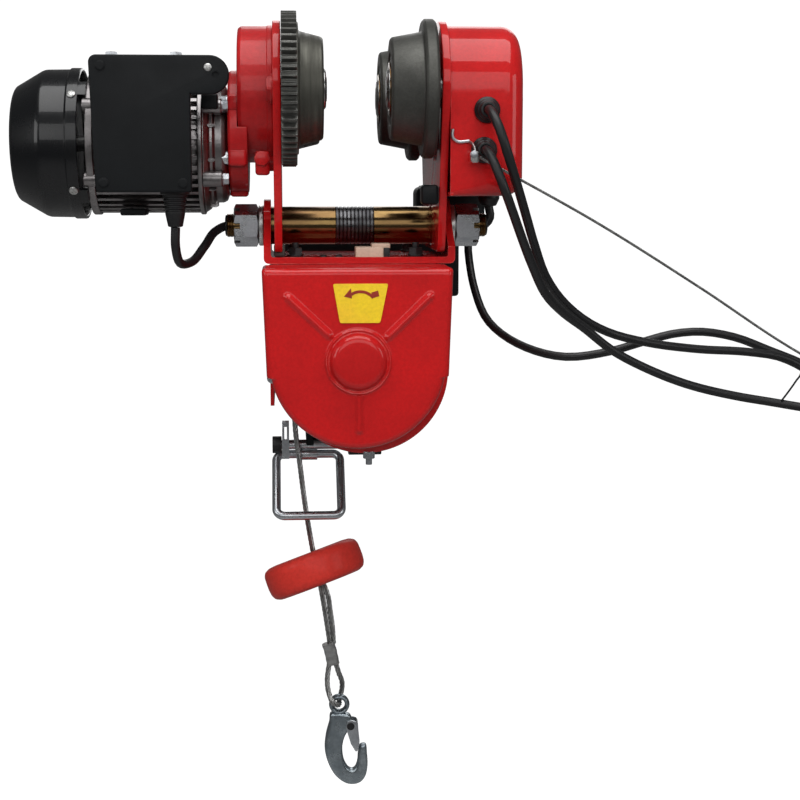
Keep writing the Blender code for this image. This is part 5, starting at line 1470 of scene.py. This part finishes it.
def hook():
    x, y, z = EYE
    pin = (x + 9.2, z - 17.5)
    throat = [(7.0, -8.0), (10.5, -12.2), (12.6, -14.9), (13.4, -17.5), (12.6, -20.1), (10.2, -21.6),
              (7.0, -23.2)]
    seat = [(4.6, -27.0), (3.0, -32.0), (2.3, -38.0), (3.4, -47.5), (6.5, -54.0), (10.0, -56.2),
            (13.0, -54.5)]
    bill = [(14.8, -49.0), (15.4, -42.0), (17.2, -35.6), (22.0, -35.4), (22.9, -42.0), (23.4, -52.0),
            (21.8, -61.5)]
    back = [(17.4, -67.4), (10.6, -69.2), (3.4, -67.2), (-4.2, -60.4), (-9.8, -49.5), (-12.4, -37.5),
            (-11.2, -25.0)]
    back += [(-8.5, -15.0), (-6.5, -7.0)]
    outline = smooth_loop([(x + a, z + b) for a, b in throat + seat + bill + back])
    made = slab("hook_body", [outline], y - 4.6, y + 4.6, FORGED, "load_hook", "hook", axis="Y", edge=2.6,
                soft=6, sharp=40)
    ring = [(6.55 - 2.05 * cos(radians(a)), 4.2 * sin(radians(a))) for a in range(-90, 271, 20)][:-1]
    changed(made, [lathe_mesh(ring, (x, y, z), "Y", 72, 0.0)], "UNION")
    changed(made, [
        lathe_mesh([(0, 9), (4.5, 9), (4.5, -9), (0, -9)], (x, y, z), "Y", 64, 0.0),
        lathe_mesh([(0, 9), (2.3, 9), (2.3, -9), (0, -9)], (pin[0], y, pin[1]), "Y", 32, 0.0),
    ])
    made.data.set_sharp_from_angle(angle=radians(50))
    side = [
        (6.4, -13.2), (10.0, -12.6), (14.0, -13.6), (15.4, -15.5), (15.6, -20.0), (16.6, -30.0),
        (16.3, -34.5),
        (14.7, -39.4), (13.2, -39.6), (9.4, -33.0), (7.0, -25.0), (5.2, -18.5),
    ]
    latch = slab("latch_sheet", [eased([(x + a, z + b) for a, b in side], 1.2, True, 4)], y - 6.0, y + 6.0,
                 ZINC, "latch",
                 "hook_latch", axis="Y", edge=0.3)
    changed(latch, [block_mesh((x - 5, y - 4.9, z - 45), (x + 13.9, y + 4.9, z), 0.0)])
    lathe("latch_rivet", [(0, -7.0), (2.9, -7.0), (3.2, -6.6), (3.2, -6.0), (2.0, -6.0), (2.0, 6.0),
                          (3.2, 6.0), (3.2, 6.6), (2.9, 7.0),
                          (0, 7.0)], DARK, "latch", at=(pin[0], y, pin[1]), axis="Y", steps=40, ease=0.2)
    spring = [(pin[0] + 3.1 * cos(a), y - 4.2 + 8.4 * k / 71, pin[1] + 3.1 * sin(a))
              for k, a in enumerate(np.linspace(0, 2 * pi * 6, 72))]
    swept("latch_spring", spring, 0.45, STEEL, "latch", sides=10)


# ---------------------------------------------------------------- handset


def handset():
    y0, y1 = -78.5, -48.5
    middle = (y0 + y1) / 2
    body = block("handset_case", (410, y0, -492), (454, y1, -326), PLASTIC, "frame", "handset", edge=6.0,
                 segments=6)
    tools = []
    for z in (LIFT_Z, TRAVEL_Z):
        tools.append(block_mesh((421.7, y0 - 5, z - 18.6), (442.3, y0 + 10, z + 18.6), 0.6))
    tools.append(lathe_mesh([(0, y0 - 5), (6.4, y0 - 5), (6.4, y0 + 14), (0, y0 + 14)],
                            (HANDSET_X, 0, STOP_Z), "Y", 48, 0.0))
    changed(body, tools)
    seam = [(409.6, -491), (409.6, -327), (454.4, -327), (454.4, -491)]
    slab("handset_seam", [seam, [(411.2, -489.5), (411.2, -328.5), (452.8, -328.5), (452.8, -489.5)]],
         middle - 0.8, middle + 0.8,
         RUBBER, "frame", axis="Y", edge=0.3)
    boot = [(3.6, -289.5), (4.8, -289.5), (5.2, -292.0)]
    for k in range(5):
        z, r = -294.0 - 5.4 * k, 5.4 + 0.7 * k
        boot += [(r + 0.9, z), (r + 0.9, z - 3.0), (r, z - 3.5), (r, z - 5.0)]
    boot += [(9.4, -322.0), (9.4, -327.5), (3.6, -327.5)]
    lathe("handset_boot", boot, RUBBER, "frame", at=(HANDSET_X, middle, 0), axis="Z", steps=56, ease=0.5)
    for name, body_name, z in (("lift_rocker", "lift_switch", LIFT_Z),
                               ("travel_rocker", "travel_switch", TRAVEL_Z)):
        back, crest, valley = y0 + 7, y0 - 5.0, y0 - 2.0
        dip = [(crest + (valley - crest) * sin(pi * t), z - 17 + 34 * t) for t in np.linspace(0, 1, 17)]
        slab(f"{name}_key", [[(back, z - 17)] + dip + [(back, z + 17)]], 422.0, 442.0, GLOSS, body_name, name,
             edge=0.8)
        for sign in (1, -1):
            arrow = [(HANDSET_X, z + sign * 13.4), (427.6, z + sign * 8.4), (436.4, z + sign * 8.4)]
            slab(f"{name}_mark_{'up' if sign > 0 else 'down'}", [arrow], y0 - 4.6, y0 - 3.6, WHITE, body_name,
                 axis="Y", edge=0.1,
                 soft=0)
        slab(f"{name}_bezel", [[(419.6, z - 20.8), (444.4, z - 20.8), (444.4, z + 20.8), (419.6, z + 20.8)],
                               [(421.8, z - 18.4), (442.2, z - 18.4), (442.2, z + 18.4), (421.8, z + 18.4)]],
             y0 - 1.2, y0 + 0.6, RUBBER, "frame", axis="Y", edge=0.4)
    face = y0 - 4.6
    button = [(0, face - 10), (8.0, face - 10), (11.4, face - 9.0), (13.0, face - 6.4), (13.0, face - 1.0),
              (12.2, face), (6.0, face),
              (6.0, y0 + 9), (0, y0 + 9)]
    lathe("stop_knob", button, STOP_RED, "stop_switch", "stop_button", at=(HANDSET_X, 0, STOP_Z), axis="Y",
          steps=80, ease=0.6)
    collar = [(6.8, y0 - 0.3), (13.6, y0 - 0.3), (14.0, y0 - 1.2), (14.8, y0 - 1.6), (15.6, y0 - 1.5),
              (16.4, y0 - 0.6),
              (16.4, y0 + 0.4), (6.8, y0 + 0.4)]
    lathe("stop_collar", collar, YELLOW, "frame", at=(HANDSET_X, 0, STOP_Z), axis="Y", steps=80, ease=0.2)
    for k, (x, z) in enumerate(((415.5, -332), (448.5, -332), (415.5, -486), (448.5, -486))):
        screw(f"handset_screw_{k}", (x, y1 + 0.1, z), (0, 1, 0), 2.6, 1.2, DARK, turn=0.4 * k)


side_plates()
cross_shaft()
wheels()
drive()
gearbox()
trolley_motor()
terminal_box()
control_box()
hanger()
housing()
front_cover()
hoist_drive()
hoist_motor()
limit_switch()
rope_end()
hook()
handset()
